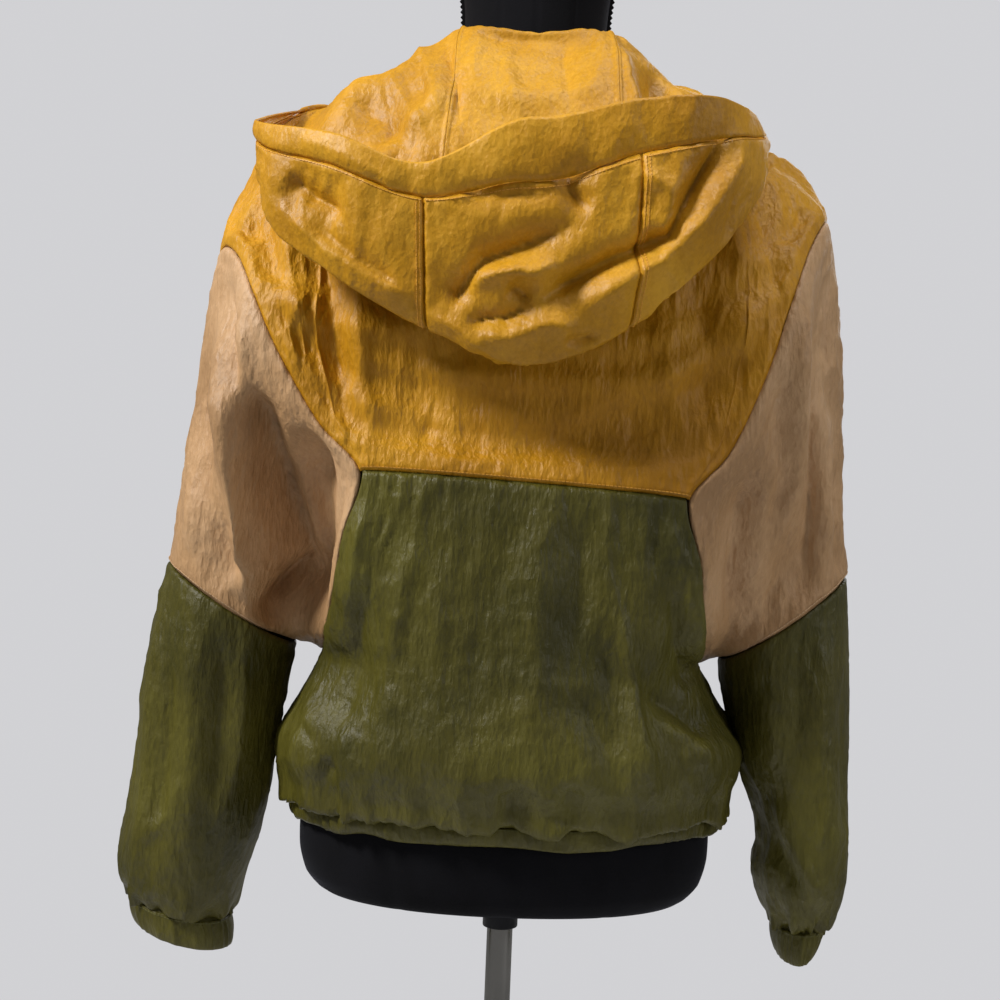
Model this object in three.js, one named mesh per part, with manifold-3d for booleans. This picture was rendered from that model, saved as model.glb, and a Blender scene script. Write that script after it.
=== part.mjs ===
// Hooded windbreaker jacket in three colours, zipped shut and standing filled out on a limbless
// dress form with a steel pole and a round base.
//
// Frame: millimetres, +Z up, origin at the centre of the base's underside.
// The jacket's front faces -Y, its back +Y, and the wearer's left is +X.
// Every cloth piece is a thin wall whose outer face is one of four surfaces:
// the body (front or back), the upper sleeve, the lower sleeve and the hood.

import * as THREE from 'three';
import { mergeVertices } from 'three/addons/utils/BufferGeometryUtils.js';
import Module from 'manifold-3d';

const wasm = await Module();
wasm.setup();

// ---------------------------------------------------------------- driving dimensions

const CLOTH_WALL = 1.2;         // one layer of nylon with its seam turnings
const CASING_WALL = 1.8;        // folded hem, cuff or hood edge with elastic or cord inside
const SEAM_GAP = 0.3;           // between any two pieces that are sewn together

const HEM_BOTTOM_Z = 560;
const HEM_TOP_Z = 574;
const UNDERARM_ROW = 4;         // row of the body where side seam and armhole meet
const YOKE_ROW = 8;             // row of the body where the yoke is sewn to the lower panel
const SHOULDER_ROW = 14;        // row of the body that is the shoulder seam and the neckline

const NECK_HALF_WIDTH = 68;
const NECK_SIDE_Z = 1178;
const NECK_BACK = { y: 66, z: 1163 };
const NECK_FRONT = { y: 72, z: 1106 };
const SHOULDER_POINT = { x: 186, z: 1137 };
const NECK_SHARE = 3 / 7;       // share of the top row, from the centre, that is neckline
const YOKE_ASKEW = { lift: 6, shift: 8 };
const BODY_ROUNDNESS = 2.4;     // superellipse power of the body's cross-section

// The mustard yoke runs on over the shoulder: its share of each line of the upper sleeve.
const CAP_DEPTH = { left: 0.56, right: 0.41 };
const CAP_TIP = 0.008;
const CAP_POWER = 0.95;

const ZIP_HALF_WIDTH = 3.6;
const ZIP_THICKNESS = 2.4;
const FRONT_EDGE_X = ZIP_HALF_WIDTH + SEAM_GAP;

// Zip slider and pull tab, measured from the bar that the tab swings on.
const SLIDER = { halfWidth: 4.2, halfHeight: 6.5, front: 1.9, thickness: 2.4, clear: 0.9 };
const BRIDGE = { halfWidth: 1.2, halfHeight: 4.4, reach: 2.9, opening: 3, clear: 1.5 };
const PULL_TAB = { length: 26, halfWidth: 3.2, thickness: 1.2, bar: 0.7, eyeHalfWidth: 1.8, eyeEnd: 5 };
const SLIDER_ALONG_STAND = 0.45;  // share of the collar stand below the slider

const HOOD_SEAM_RISE = 1.3;      // the hood stands on the neckline
const HOOD_CASING_SHARE = 0.91; // place on a hood section where the opening's casing begins

const POLE_RADIUS = 11;
const BASE_RADIUS = 170;
const BASE_THICKNESS = 10;
const FORM_BOTTOM_Z = 495;

const STEPS = {
  across: 7,                    // columns from the centre of the body to its edge
  belowUnderarm: 5,
  underarmToYoke: 6,
  yokeToShoulder: 8,
  capColumns: 4,
  midSleeveRows: 6,
  lowerSleeveRows: 7,
  hoodRows: 12,
  hoodHalf: 12,                 // columns from the middle of the hood to its front end
};
const ARMHOLE_STEPS = STEPS.underarmToYoke + STEPS.yokeToShoulder;
const YOKE_SHARE = STEPS.yokeToShoulder / ARMHOLE_STEPS;

// Body rows, hem to shoulder: half width, depth and height of the panel's edge, then depth
// and height of its middle. The edge is the side seam up to the underarm, then the armhole.
const BACK_ROWS = [
  [181, 0, 574, 124, 574],
  [191, 0, 598, 142, 598],
  [195, 0, 630, 150, 628],
  [176, 0, 667, 147, 664],
  [160, 0, 696, 143, 694],
  [154, 58, 714, 141, 716],
  [149, 96, 745, 140, 748],
  [143, 119, 792, 138, 795],
  [131, 131, 842, 136, 845],
  [154, 127, 884, 134, 888],
  [167, 122, 940, 131, 942],
  [171, 116, 1003, 127, 1003],
  [177, 96, 1066, 120, 1064],
  [184, 56, 1116, 104, 1118],
  [186, 0, 1137, NECK_BACK.y, NECK_BACK.z],
];
const FRONT_MIDDLE = [
  [124, 574], [141, 598], [149, 628], [145, 664], [141, 694], [139, 716], [138, 748], [137, 795],
  [136, 845], [135, 888], [133, 938], [128, 985], [116, 1032], [96, 1074], [NECK_FRONT.y, NECK_FRONT.z],
];

// Upper sleeve: how each line of cloth leaves the armhole and enters the tan and olive seam.
// Key: 0 at the shoulder point, 1 at the underarm.
const SLEEVE_LEAVE = [
  [0.0, 100, 0, 13],
  [0.2, 84, 6, 0],
  [0.4, 52, 8, -14],
  [0.57, 34, -8, -22],
  [0.8, 22, -16, -12],
  [1.0, 7, 0, 1],
];
const SLEEVE_ENTER = [
  [0.0, -24, 0, 186],
  [0.2, -14, 8, 178],
  [0.4, -12, 12, 150],
  [0.57, -16, 4, 88],
  [0.8, -14, 2, 24],
  [1.0, -7, 0, -1],
];

const LEFT_CLOSER = 12;         // the left sleeve hangs this much closer to the body

// Sleeves: rings from the tan and olive seam down to the top of the cuff.
// Outer x and z, inner x and z, depth and middle in y.
const LEFT_RINGS = [
  [296, 768, 184, 702, 62, 0],
  [307, 716, 190, 664, 61, 0],
  [314, 660, 196, 622, 60, 0],
  [318, 606, 201, 578, 60, -2],
  [324, 560, 208, 540, 60, -4],
  [331, 520, 219, 504, 59, -6],
  [329, 496, 226, 478, 56, -7],
  [322, 482, 232, 461, 50, -8],
];
const RIGHT_RINGS = [
  [284, 778, 178, 702, 62, 0],
  [288, 716, 186, 662, 61, 0],
  [290, 660, 196, 622, 60, 0],
  [291, 612, 211, 588, 61, -2],
  [294, 564, 221, 556, 62, -4],
  [295, 524, 217, 520, 60, -6],
  [291, 494, 224, 492, 54, -7],
  [282, 480, 234, 474, 47, -8],
];
const CUFF_DROP = { left: [-6, -22, -3, -23], right: [-13, -26, 4, -26] };

// Hood sections, from the middle of the back to the front end: share of the half, then the
// points after the neckline: fold, fall, bottom of the bag, its outer side, the opening.
const HOOD_LEFT = [
  [0.00, [0, 86, 1209], [0, 146, 1112], [0, 170, 934], [0, 191, 996], [0, 199, 1108]],
  [0.20, [60, 68, 1211], [66, 140, 1114], [74, 165, 958], [78, 187, 1010], [80, 195, 1073]],
  [0.40, [86, 32, 1199], [118, 122, 1130], [142, 158, 996], [148, 177, 1036], [146, 184, 1094]],
  [0.60, [90, -16, 1190], [156, 72, 1158], [206, 116, 1058], [213, 127, 1078], [217, 112, 1120]],
  [0.80, [62, -62, 1160], [112, -36, 1174], [168, -10, 1160], [178, -14, 1165], [161, -37, 1169]],
  [1.00, [4, -80, 1122], [4, -85, 1132], [4, -89, 1140], [4, -92, 1147], [4, -95, 1154]],
];
const HOOD_RIGHT = [
  [0.00, [0, 86, 1209], [0, 146, 1112], [0, 170, 934], [0, 191, 996], [0, 199, 1108]],
  [0.20, [60, 68, 1212], [66, 140, 1120], [76, 165, 964], [80, 187, 1028], [78, 195, 1126]],
  [0.40, [86, 32, 1196], [116, 122, 1140], [138, 158, 1026], [146, 177, 1062], [138, 182, 1132]],
  [0.60, [90, -16, 1188], [148, 64, 1166], [180, 114, 1090], [186, 125, 1104], [176, 104, 1136]],
  [0.80, [62, -62, 1160], [108, -36, 1172], [156, -10, 1166], [166, -14, 1171], [150, -37, 1174]],
  [1.00, [4, -80, 1122], [4, -85, 1132], [4, -89, 1140], [4, -92, 1147], [4, -95, 1154]],
];
const HOOD_PANEL_SHARE = 0.2;   // where the centre panel is sewn to the side panels

// Dress form sections: height, half width, depth behind and in front, power.
const FORM_ROWS = [
  [495, 138, 84, 84, 2.2],
  [499, 156, 98, 98, 2.2],
  [512, 168, 108, 106, 2.2],
  [535, 174, 113, 110, 2.2],
  [575, 172, 114, 108, 2.2],
  [640, 158, 106, 100, 2.2],
  [710, 135, 92, 94, 2.2],
  [770, 125, 84, 92, 2.2],
  [840, 135, 88, 102, 2.2],
  [910, 147, 94, 116, 2.3],
  [970, 148, 98, 112, 2.4],
  [1030, 152, 98, 98, 2.5],
  [1080, 163, 84, 78, 2.5],
  [1104, 166, 66, 58, 2.4],
  [1116, 158, 54, 48, 2.3],
  [1127, 134, 46, 42, 2.2],
  [1138, 104, 42, 40, 2.1],
  [1150, 78, 42, 42, 2.0],
  [1166, 63, 46, 48, 2.0],
  [1190, 61, 48, 52, 2.0],
  [1240, 61, 49, 54, 2.0],
  [1290, 65, 50, 56, 2.0],
  [1299, 60, 46, 52, 2.0],
];
const FORM_COLUMNS = 28;

// ---------------------------------------------------------------- materials

function finish(color, roughness, metalness = 0) {
  return new THREE.MeshStandardMaterial({ color, roughness, metalness, side: THREE.DoubleSide });
}

const MUSTARD = finish(0xc98a24, 0.5);
const TAN = finish(0xb59263, 0.5);
const OLIVE = finish(0x6b6238, 0.5);
const VELVET = finish(0x121214, 0.95);
const STEEL = finish(0xb9bbbd, 0.25, 1);
const ZIP_METAL = finish(0x8a8678, 0.35, 1);
const ZIP_TAPE = finish(0x5f5730, 0.8);

// ---------------------------------------------------------------- small mathematics

const clamp01 = (value) => Math.min(Math.max(value, 0), 1);

function smoothStep(low, high, value) {
  const k = clamp01((value - low) / (high - low));
  return k * k * (3 - 2 * k);
}

// A bell that is 1 at the centre and fades over its width.
const bell = (value, centre, width) => Math.exp(-(((value - centre) / width) ** 2));

// Catmull-Rom through a list of number lists; position counts list entries.
function alongList(list, position) {
  const last = list.length - 1;
  const at = Math.min(Math.max(position, 0), last);
  const i = Math.min(Math.floor(at), last - 1);
  const k = at - i;
  const before = list[Math.max(i - 1, 0)];
  const from = list[i];
  const to = list[i + 1];
  const after = list[Math.min(i + 2, last)];
  return from.map((b, j) => {
    const a = before[j];
    const c = to[j];
    const d = after[j];
    const linear = (c - a) * k;
    const square = (2 * a - 5 * b + 4 * c - d) * k * k;
    const cube = (3 * b - a - 3 * c + d) * k * k * k;
    return 0.5 * (2 * b + linear + square + cube);
  });
}

// The same through rows whose first number is a rising key.
function alongKeys(rows, key) {
  let i = 0;
  while (i < rows.length - 2 && key > rows[i + 1][0]) i += 1;
  const k = clamp01((key - rows[i][0]) / (rows[i + 1][0] - rows[i][0]));
  return alongList(rows.map((row) => row.slice(1)), i + k);
}

const point = (x, y, z) => new THREE.Vector3(x, y, z);

function bezier(a, b, c, d, t) {
  const s = 1 - t;
  return point(0, 0, 0)
    .addScaledVector(a, s * s * s)
    .addScaledVector(b, 3 * s * s * t)
    .addScaledVector(c, 3 * s * t * t)
    .addScaledVector(d, t * t * t);
}

// ---------------------------------------------------------------- the body's surface

// u runs from -1 at the right edge to 1 at the left; row counts body rows; facing is 1 for
// the back and -1 for the front.
function bodyEdge(row) {
  const [x, y, z] = alongList(BACK_ROWS, row);
  return point(x, row <= UNDERARM_ROW ? 0 : Math.max(y, 0), z);
}

// The jacket hangs a little askew: the left end of the yoke seam is pulled up and in.
function hangAskew(place, row) {
  const near = bell(row, YOKE_ROW, 2.2) * (row > UNDERARM_ROW ? 1 : 0) * smoothStep(0, 1.5, row - UNDERARM_ROW);
  const share = place.x / BACK_ROWS[YOKE_ROW][0];
  place.z += YOKE_ASKEW.lift * share * near;
  place.x -= YOKE_ASKEW.shift * Math.max(share, 0) * near;
  return place;
}

function bodyMiddle(row, facing) {
  const back = alongList(BACK_ROWS, row);
  const front = alongList(FRONT_MIDDLE, row);
  return facing > 0 ? { y: back[3], z: back[4] } : { y: front[0], z: front[1] };
}

function neckAndShoulder(u, facing) {
  const side = Math.abs(u);
  const low = facing > 0 ? NECK_BACK : NECK_FRONT;
  if (side <= NECK_SHARE) {
    const angle = (side / NECK_SHARE) * Math.PI / 2;
    const rise = Math.cos(angle) ** (facing > 0 ? 1.0 : 1.3);
    return point(NECK_HALF_WIDTH * Math.sin(angle), low.y * Math.cos(angle), NECK_SIDE_Z - (NECK_SIDE_Z - low.z) * rise);
  }
  const k = (side - NECK_SHARE) / (1 - NECK_SHARE);
  const crown = 5 * Math.sin(Math.PI * k);
  return point(
    NECK_HALF_WIDTH + (SHOULDER_POINT.x - NECK_HALF_WIDTH) * k,
    0,
    NECK_SIDE_Z + (SHOULDER_POINT.z - NECK_SIDE_Z) * k + crown,
  );
}

function plainBody(u, row, facing) {
  const edge = bodyEdge(row);
  const middle = bodyMiddle(row, facing);
  const power = 2 / BODY_ROUNDNESS;
  const across = Math.sin(Math.abs(u) * Math.PI / 2) ** power;
  const inward = Math.max(Math.cos(Math.abs(u) * Math.PI / 2), 0) ** power;
  return point(edge.x * across, edge.y + (middle.y - edge.y) * inward, edge.z + (middle.z - edge.z) * inward);
}

function bodySurface(u, row, facing) {
  const side = Math.abs(u);
  const place = plainBody(side, row, facing);
  const pull = smoothStep(SHOULDER_ROW - 3, SHOULDER_ROW, row);
  if (pull > 0) {
    const top = neckAndShoulder(side, facing);
    place.addScaledVector(top.sub(plainBody(side, SHOULDER_ROW, facing)), pull);
  }
  return hangAskew(point(place.x * Math.sign(u || 1), place.y * facing, place.z), row);
}

// ---------------------------------------------------------------- the sleeves' surfaces

const ringsOf = (side) => (side > 0 ? LEFT_RINGS : RIGHT_RINGS);

// turn runs 0 at the outer side, 1 at the inner side by the back, 2 back at the outer side.
function ringPoint(ring, turn, side) {
  const [outerX, outerZ, innerX, innerZ, depth, middleY] = ring;
  const angle = turn * Math.PI;
  const c = Math.cos(angle);
  return point(
    side * ((outerX + innerX) / 2 + ((outerX - innerX) / 2) * c),
    middleY + depth * Math.sin(angle),
    (outerZ + innerZ) / 2 + ((outerZ - innerZ) / 2) * c,
  );
}

function lowerSleeve(turn, along, side) {
  const rings = ringsOf(side);
  return ringPoint(alongList(rings, along * (rings.length - 1)), turn, side);
}

// The armhole's line number, 0 at the shoulder point and 1 at the underarm, and its body row.
function rowOfTurn(turn) {
  const fraction = turn <= 1 ? turn : 2 - turn;
  if (fraction <= YOKE_SHARE) return SHOULDER_ROW - (SHOULDER_ROW - YOKE_ROW) * (fraction / YOKE_SHARE);
  return YOKE_ROW - (YOKE_ROW - UNDERARM_ROW) * ((fraction - YOKE_SHARE) / (1 - YOKE_SHARE));
}

function turnOfRow(row, facing) {
  const fraction = row >= YOKE_ROW
    ? YOKE_SHARE * (SHOULDER_ROW - row) / (SHOULDER_ROW - YOKE_ROW)
    : YOKE_SHARE + (1 - YOKE_SHARE) * (YOKE_ROW - row) / (YOKE_ROW - UNDERARM_ROW);
  return facing > 0 ? fraction : (2 - fraction) % 2;
}

function armholePoint(turn, side) {
  const row = rowOfTurn(turn);
  const edge = bodyEdge(row);
  return hangAskew(point(edge.x * side, turn <= 1 ? edge.y : -edge.y, edge.z), row);
}

// The long folds of the upper sleeve: a deep trough beside the body and one down the outside.
function sleeveFold(turn, along) {
  const fraction = turn <= 1 ? turn : 2 - turn;
  const beside = 15 * bell(fraction, 0.5, 0.1) * smoothStep(0.1, 0.4, along);
  const outside = 7 * bell(fraction, 0.2, 0.06) * Math.sin(Math.PI * clamp01(along)) ** 2;
  const ridge = -5 * bell(fraction, 0.33, 0.07) * Math.sin(Math.PI * clamp01(along));
  return (beside + outside + ridge) * (1 - smoothStep(0.85, 1, along));
}

function plainUpperSleeve(turn, along, side) {
  const fraction = turn <= 1 ? turn : 2 - turn;
  const facing = turn <= 1 ? 1 : -1;
  const leave = alongKeys(SLEEVE_LEAVE, fraction);
  const enter = alongKeys(SLEEVE_ENTER, fraction);
  const start = armholePoint(turn, side);
  const end = ringPoint(ringsOf(side)[0], turn, side);
  const closer = side > 0 ? LEFT_CLOSER * (1 - smoothStep(0, 0.5, fraction)) : 0;
  const out = point((leave[0] - closer) * side, leave[1] * facing, leave[2]).add(start);
  const back = point((enter[0] - closer) * side, enter[1] * facing, enter[2]).add(end);
  return bezier(start, out, back, end, along);
}

function upperSleeve(turn, along, side) {
  const place = plainUpperSleeve(turn, along, side);
  const depth = sleeveFold(turn, along);
  const inward = point(-0.3 * side, turn <= 1 ? -1 : 1, 0).normalize();
  return place.addScaledVector(inward, depth);
}

// Where the mustard cap ends on each line of the upper sleeve, as a share of the line.
function capShare(turn, side) {
  const fraction = turn <= 1 ? turn : 2 - turn;
  if (fraction > YOKE_SHARE + 0.001) return 0;
  const deepest = side > 0 ? CAP_DEPTH.left : CAP_DEPTH.right;
  return CAP_TIP + (deepest - CAP_TIP) * (1 - Math.min(fraction / YOKE_SHARE, 1) ** CAP_POWER);
}

// ---------------------------------------------------------------- the hood's surface

// across runs from -1 at the right front end to 1 at the left one; along runs from the
// neckline to the edge of the opening.
function hoodNeckline(share) {
  const angle = share * Math.PI;
  const c = Math.cos(angle);
  const low = c >= 0 ? NECK_BACK : NECK_FRONT;
  const fall = (NECK_SIDE_Z - low.z) * Math.abs(c) ** (c >= 0 ? 1 : 1.3);
  const x = (NECK_HALF_WIDTH - FRONT_EDGE_X) * Math.sin(angle) + FRONT_EDGE_X * smoothStep(0, 0.3, share);
  return [x, low.y * c, NECK_SIDE_Z - fall + HOOD_SEAM_RISE];
}

function hoodSurface(across, along) {
  const rows = across >= 0 ? HOOD_LEFT : HOOD_RIGHT;
  const share = Math.abs(across);
  let i = 0;
  while (i < rows.length - 2 && share > rows[i + 1][0]) i += 1;
  const k = clamp01((share - rows[i][0]) / (rows[i + 1][0] - rows[i][0]));
  const section = [hoodNeckline(share)];
  rows[0].slice(1).forEach((unused, n) => {
    const line = rows.map((row) => row[n + 1]);
    line.unshift([-rows[1][n + 1][0], rows[1][n + 1][1], rows[1][n + 1][2]]);
    section.push(alongList(line, i + k + 1));
  });
  const [x, y, z] = alongList(section, along * (section.length - 1));
  return point(x * (across >= 0 ? 1 : -1), y, z);
}

// ---------------------------------------------------------------- walls from surfaces

// The normal of a surface function, on the side that outward says.
function normalOf(surface, u, v, outward, low = [-Infinity, -Infinity], high = [Infinity, Infinity]) {
  const step = 0.004;
  const clampTo = (value, i) => Math.min(Math.max(value, low[i]), high[i]);
  const du = surface(clampTo(u + step, 0), v).sub(surface(clampTo(u - step, 0), v));
  const dv = surface(u, clampTo(v + step, 1)).sub(surface(u, clampTo(v - step, 1)));
  return du.cross(dv).multiplyScalar(outward).normalize();
}

// A closed wall between rows of outer points and the same points moved in along their normals.
// Each entry is {place, normal}. closed joins the last column to the first.
function wallGeometry(rows, wall, closed) {
  const height = rows.length;
  const width = rows[0].length;
  const positions = [];
  for (const row of rows) {
    for (const { place } of row) positions.push(place.x, place.y, place.z);
  }
  for (const row of rows) {
    for (const { place, normal } of row) {
      positions.push(place.x - normal.x * wall, place.y - normal.y * wall, place.z - normal.z * wall);
    }
  }
  const outer = (r, c) => r * width + (c % width);
  const inner = (r, c) => height * width + outer(r, c);
  const faces = [];
  const quad = (a, b, c, d) => faces.push(a, b, c, a, c, d);
  const columns = closed ? width : width - 1;
  for (let r = 0; r < height - 1; r += 1) {
    for (let c = 0; c < columns; c += 1) {
      quad(outer(r, c), outer(r, c + 1), outer(r + 1, c + 1), outer(r + 1, c));
      quad(inner(r, c), inner(r + 1, c), inner(r + 1, c + 1), inner(r, c + 1));
    }
  }
  for (let c = 0; c < columns; c += 1) {
    quad(outer(0, c), inner(0, c), inner(0, c + 1), outer(0, c + 1));
    quad(outer(height - 1, c), outer(height - 1, c + 1), inner(height - 1, c + 1), inner(height - 1, c));
  }
  if (!closed) {
    for (let r = 0; r < height - 1; r += 1) {
      quad(outer(r, 0), outer(r + 1, 0), inner(r + 1, 0), inner(r, 0));
      quad(outer(r, width - 1), inner(r, width - 1), inner(r + 1, width - 1), outer(r + 1, width - 1));
    }
  }
  return closedGeometry(positions, faces);
}

// Turns the faces over if the body's volume comes out negative.
function closedGeometry(positions, faces) {
  const at = (i) => point(positions[3 * i], positions[3 * i + 1], positions[3 * i + 2]);
  let volume = 0;
  for (let f = 0; f < faces.length; f += 3) {
    volume += at(faces[f]).dot(at(faces[f + 1]).cross(at(faces[f + 2])));
  }
  const ordered = volume >= 0 ? faces : faces.slice().reverse();
  const geometry = new THREE.BufferGeometry();
  geometry.setAttribute('position', new THREE.Float32BufferAttribute(positions, 3));
  geometry.setIndex(ordered);
  geometry.computeVertexNormals();
  return geometry;
}

const steps = (count, from = 0, to = 1) => Array.from({ length: count + 1 }, (unused, i) => from + ((to - from) * i) / count);

// Pulls one border of a grid in along the cloth, to leave half of a seam's gap.
function pullBack(rows, border, distance = SEAM_GAP / 2) {
  const last = rows.length - 1;
  const width = rows[0].length - 1;
  const pairs = {
    bottom: () => rows[0].map((entry, c) => [entry, rows[1][c]]),
    top: () => rows[last].map((entry, c) => [entry, rows[last - 1][c]]),
    start: () => rows.map((row) => [row[0], row[1]]),
    end: () => rows.map((row) => [row[width], row[width - 1]]),
  }[border]();
  const moves = pairs.map(([entry, next]) => next.place.clone().sub(entry.place).setLength(distance));
  pairs.forEach(([entry], i) => entry.place.add(moves[i]));
}

// ---------------------------------------------------------------- body panels

const BODY_ROWS_LOW = steps(STEPS.belowUnderarm, 0, UNDERARM_ROW);
const BODY_ROWS_MID = steps(STEPS.underarmToYoke, UNDERARM_ROW, YOKE_ROW).slice(1);
const BODY_ROWS_TOP = steps(STEPS.yokeToShoulder, YOKE_ROW, SHOULDER_ROW);

// One normal for the body and the sleeve where they are sewn, so that both walls end in
// the same plane.
function armholeNormal(turn, side) {
  const facing = turn <= 1 ? 1 : -1;
  const body = bodyNormal(side * 0.985, Math.min(rowOfTurn(turn), SHOULDER_ROW - 0.15), facing);
  const sleeve = sleeveNormal(turn, 0.02, side);
  const shared = body.add(sleeve).normalize();
  if (turn === 0 || turn === 1) shared.y = 0;
  return shared.normalize();
}

function bodyNormal(u, row, facing) {
  const surface = (a, b) => bodySurface(a, b, facing);
  const keep = Math.min(Math.max(u, -0.995), 0.995);
  const safe = Math.abs(keep) < 0.006 ? 0.006 * Math.sign(keep || 1) : keep;
  return normalOf(surface, safe, Math.min(row, SHOULDER_ROW - 0.01), -facing);
}

function sleeveNormal(turn, along, side) {
  const surface = (a, b) => upperSleeve((a + 2) % 2, b, side);
  return normalOf(surface, turn, clamp01(along), -side, [-9, 0], [9, 1]);
}

function bodyEntry(u, row, facing) {
  const place = bodySurface(u, row, facing);
  const normal = bodyNormal(u, row, facing);
  const edge = Math.abs(u) === 1;
  if (edge && row <= UNDERARM_ROW) normal.setY(0).normalize();
  if (row === SHOULDER_ROW && Math.abs(u) > NECK_SHARE - 0.001) normal.setY(0).normalize();
  if (edge && row >= UNDERARM_ROW) {
    normal.copy(armholeNormal(turnOfRow(row, facing), Math.sign(u)));
  }
  return { place, normal };
}

// The part of a yoke row that lies on the upper sleeve, from the armhole line outwards.
function capEntries(row, facing, side) {
  const turn = turnOfRow(row, facing);
  return steps(STEPS.capColumns).slice(1).map((k) => sleeveEntry(turn, k * capShare(turn, side), side));
}

const BACK_COLUMNS = steps(2 * STEPS.across, -1, 1);

function backPanel(rowList, withCaps) {
  const rows = rowList.map((row) => {
    const across = BACK_COLUMNS.map((u) => bodyEntry(u, row, 1));
    return withCaps ? [...capEntries(row, 1, -1).reverse(), ...across, ...capEntries(row, 1, 1)] : across;
  });
  ['bottom', 'top', 'start', 'end'].forEach((border) => pullBack(rows, border));
  return wallGeometry(rows, CLOTH_WALL, false);
}

// A front panel stops beside the zip instead of at the middle.
function frontPanel(rowList, side, withCap) {
  const columns = steps(STEPS.across, 0, 1).map((u) => u * side);
  const rows = rowList.map((row) => {
    const across = columns.map((u) => {
      const entry = bodyEntry(u === 0 ? 0.0001 * side : u, row, -1);
      entry.place.x += side * FRONT_EDGE_X * Math.max(1 - Math.abs(u) / 0.5, 0);
      return entry;
    });
    return withCap ? [...across, ...capEntries(row, -1, side)] : across;
  });
  ['bottom', 'top', 'end'].forEach((border) => pullBack(rows, border));
  return wallGeometry(rows, CLOTH_WALL, false);
}

function frontCurve(row) {
  const middle = bodyMiddle(row, -1);
  return point(0, -middle.y, middle.z);
}

// ---------------------------------------------------------------- hem, zip

function hemPoint(share, z) {
  const angle = share * 2 * Math.PI - Math.PI / 2;
  const power = 2 / BODY_ROUNDNESS;
  const ease = (z - HEM_BOTTOM_Z) / (HEM_TOP_Z - HEM_BOTTOM_Z);
  const half = 179 + 1.5 * ease;
  const deep = 122 + 1.5 * ease;
  const c = Math.cos(angle);
  const s = Math.sin(angle);
  return point(half * Math.sign(c) * Math.abs(c) ** power, deep * Math.sign(s) * Math.abs(s) ** power, z);
}

function hemCasing() {
  const clear = 0.0035;
  const shares = steps(4 * STEPS.across, clear, 1 - clear);
  const heights = [HEM_BOTTOM_Z, (HEM_BOTTOM_Z + HEM_TOP_Z) / 2, HEM_TOP_Z - SEAM_GAP];
  const rows = heights.map((z) => shares.map((share) => {
    const place = hemPoint(share, z);
    const normal = normalOf((a, b) => hemPoint(a, b), share, z, 1).setZ(0).normalize();
    if (normal.dot(point(place.x, place.y, 0)) < 0) normal.negate();
    return { place, normal };
  }));
  return wallGeometry(rows, CASING_WALL, false);
}

// A bar of rectangular section along a list of points on the plane x = 0.
function centreBar(points, halfWidth, thickness) {
  const positions = [];
  points.forEach((place, i) => {
    const ahead = points[Math.min(i + 1, points.length - 1)];
    const behind = points[Math.max(i - 1, 0)];
    const run = ahead.clone().sub(behind).normalize();
    const normal = point(0, -run.z, run.y);
    for (const [sx, sn] of [[-1, 1], [1, 1], [1, -1], [-1, -1]]) {
      positions.push(sx * halfWidth, place.y + (sn * normal.y * thickness) / 2, place.z + (sn * normal.z * thickness) / 2);
    }
  });
  const faces = [];
  for (let i = 0; i < points.length - 1; i += 1) {
    for (let k = 0; k < 4; k += 1) {
      const a = 4 * i + k;
      const b = 4 * i + ((k + 1) % 4);
      faces.push(a, b, b + 4, a, b + 4, a + 4);
    }
  }
  const top = 4 * (points.length - 1);
  faces.push(0, 2, 1, 0, 3, 2, top, top + 1, top + 2, top, top + 2, top + 3);
  return closedGeometry(positions, faces);
}

const HOOD_FRONT = HOOD_LEFT[HOOD_LEFT.length - 1];

function zipChain() {
  const body = steps(20, 0, SHOULDER_ROW).map((row) => frontCurve(row));
  const start = point(0, -hemPoint(0.5, HEM_BOTTOM_Z).y, HEM_BOTTOM_Z);
  const stand = [1, 3, 5].map((n) => point(0, HOOD_FRONT[n][1], HOOD_FRONT[n][2] - 1));
  return centreBar([start, ...body, ...stand], ZIP_HALF_WIDTH, ZIP_THICKNESS);
}

// ---------------------------------------------------------------- slider and pull tab

// Where the bar of the slider lies, and how the chain leans there.
function sliderPlace() {
  const low = point(0, HOOD_FRONT[1][1], HOOD_FRONT[1][2]);
  const high = point(0, HOOD_FRONT[3][1], HOOD_FRONT[3][2]);
  const run = high.clone().sub(low).normalize();
  const outward = point(0, -run.z, run.y);
  const proud = ZIP_THICKNESS / 2 + SLIDER.clear + SLIDER.thickness + SLIDER.front;
  const bar = low.lerp(high, SLIDER_ALONG_STAND).addScaledVector(outward, proud);
  return { bar, lean: Math.atan2(-run.y, run.z) };
}

function manifoldOf(geometry) {
  const bare = geometry.clone();
  bare.deleteAttribute('normal');
  bare.deleteAttribute('uv');
  const merged = mergeVertices(bare, 1e-4);
  return new wasm.Manifold(new wasm.Mesh({
    numProp: 3,
    vertProperties: merged.attributes.position.array,
    triVerts: new Uint32Array(merged.index.array),
  }));
}

function geometryOf(manifold) {
  const mesh = manifold.getMesh();
  return closedGeometry(Array.from(mesh.vertProperties), Array.from(mesh.triVerts));
}

function plate(shape, thickness) {
  return new THREE.ExtrudeGeometry(shape, { depth: thickness, bevelEnabled: false, curveSegments: 5 });
}

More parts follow.
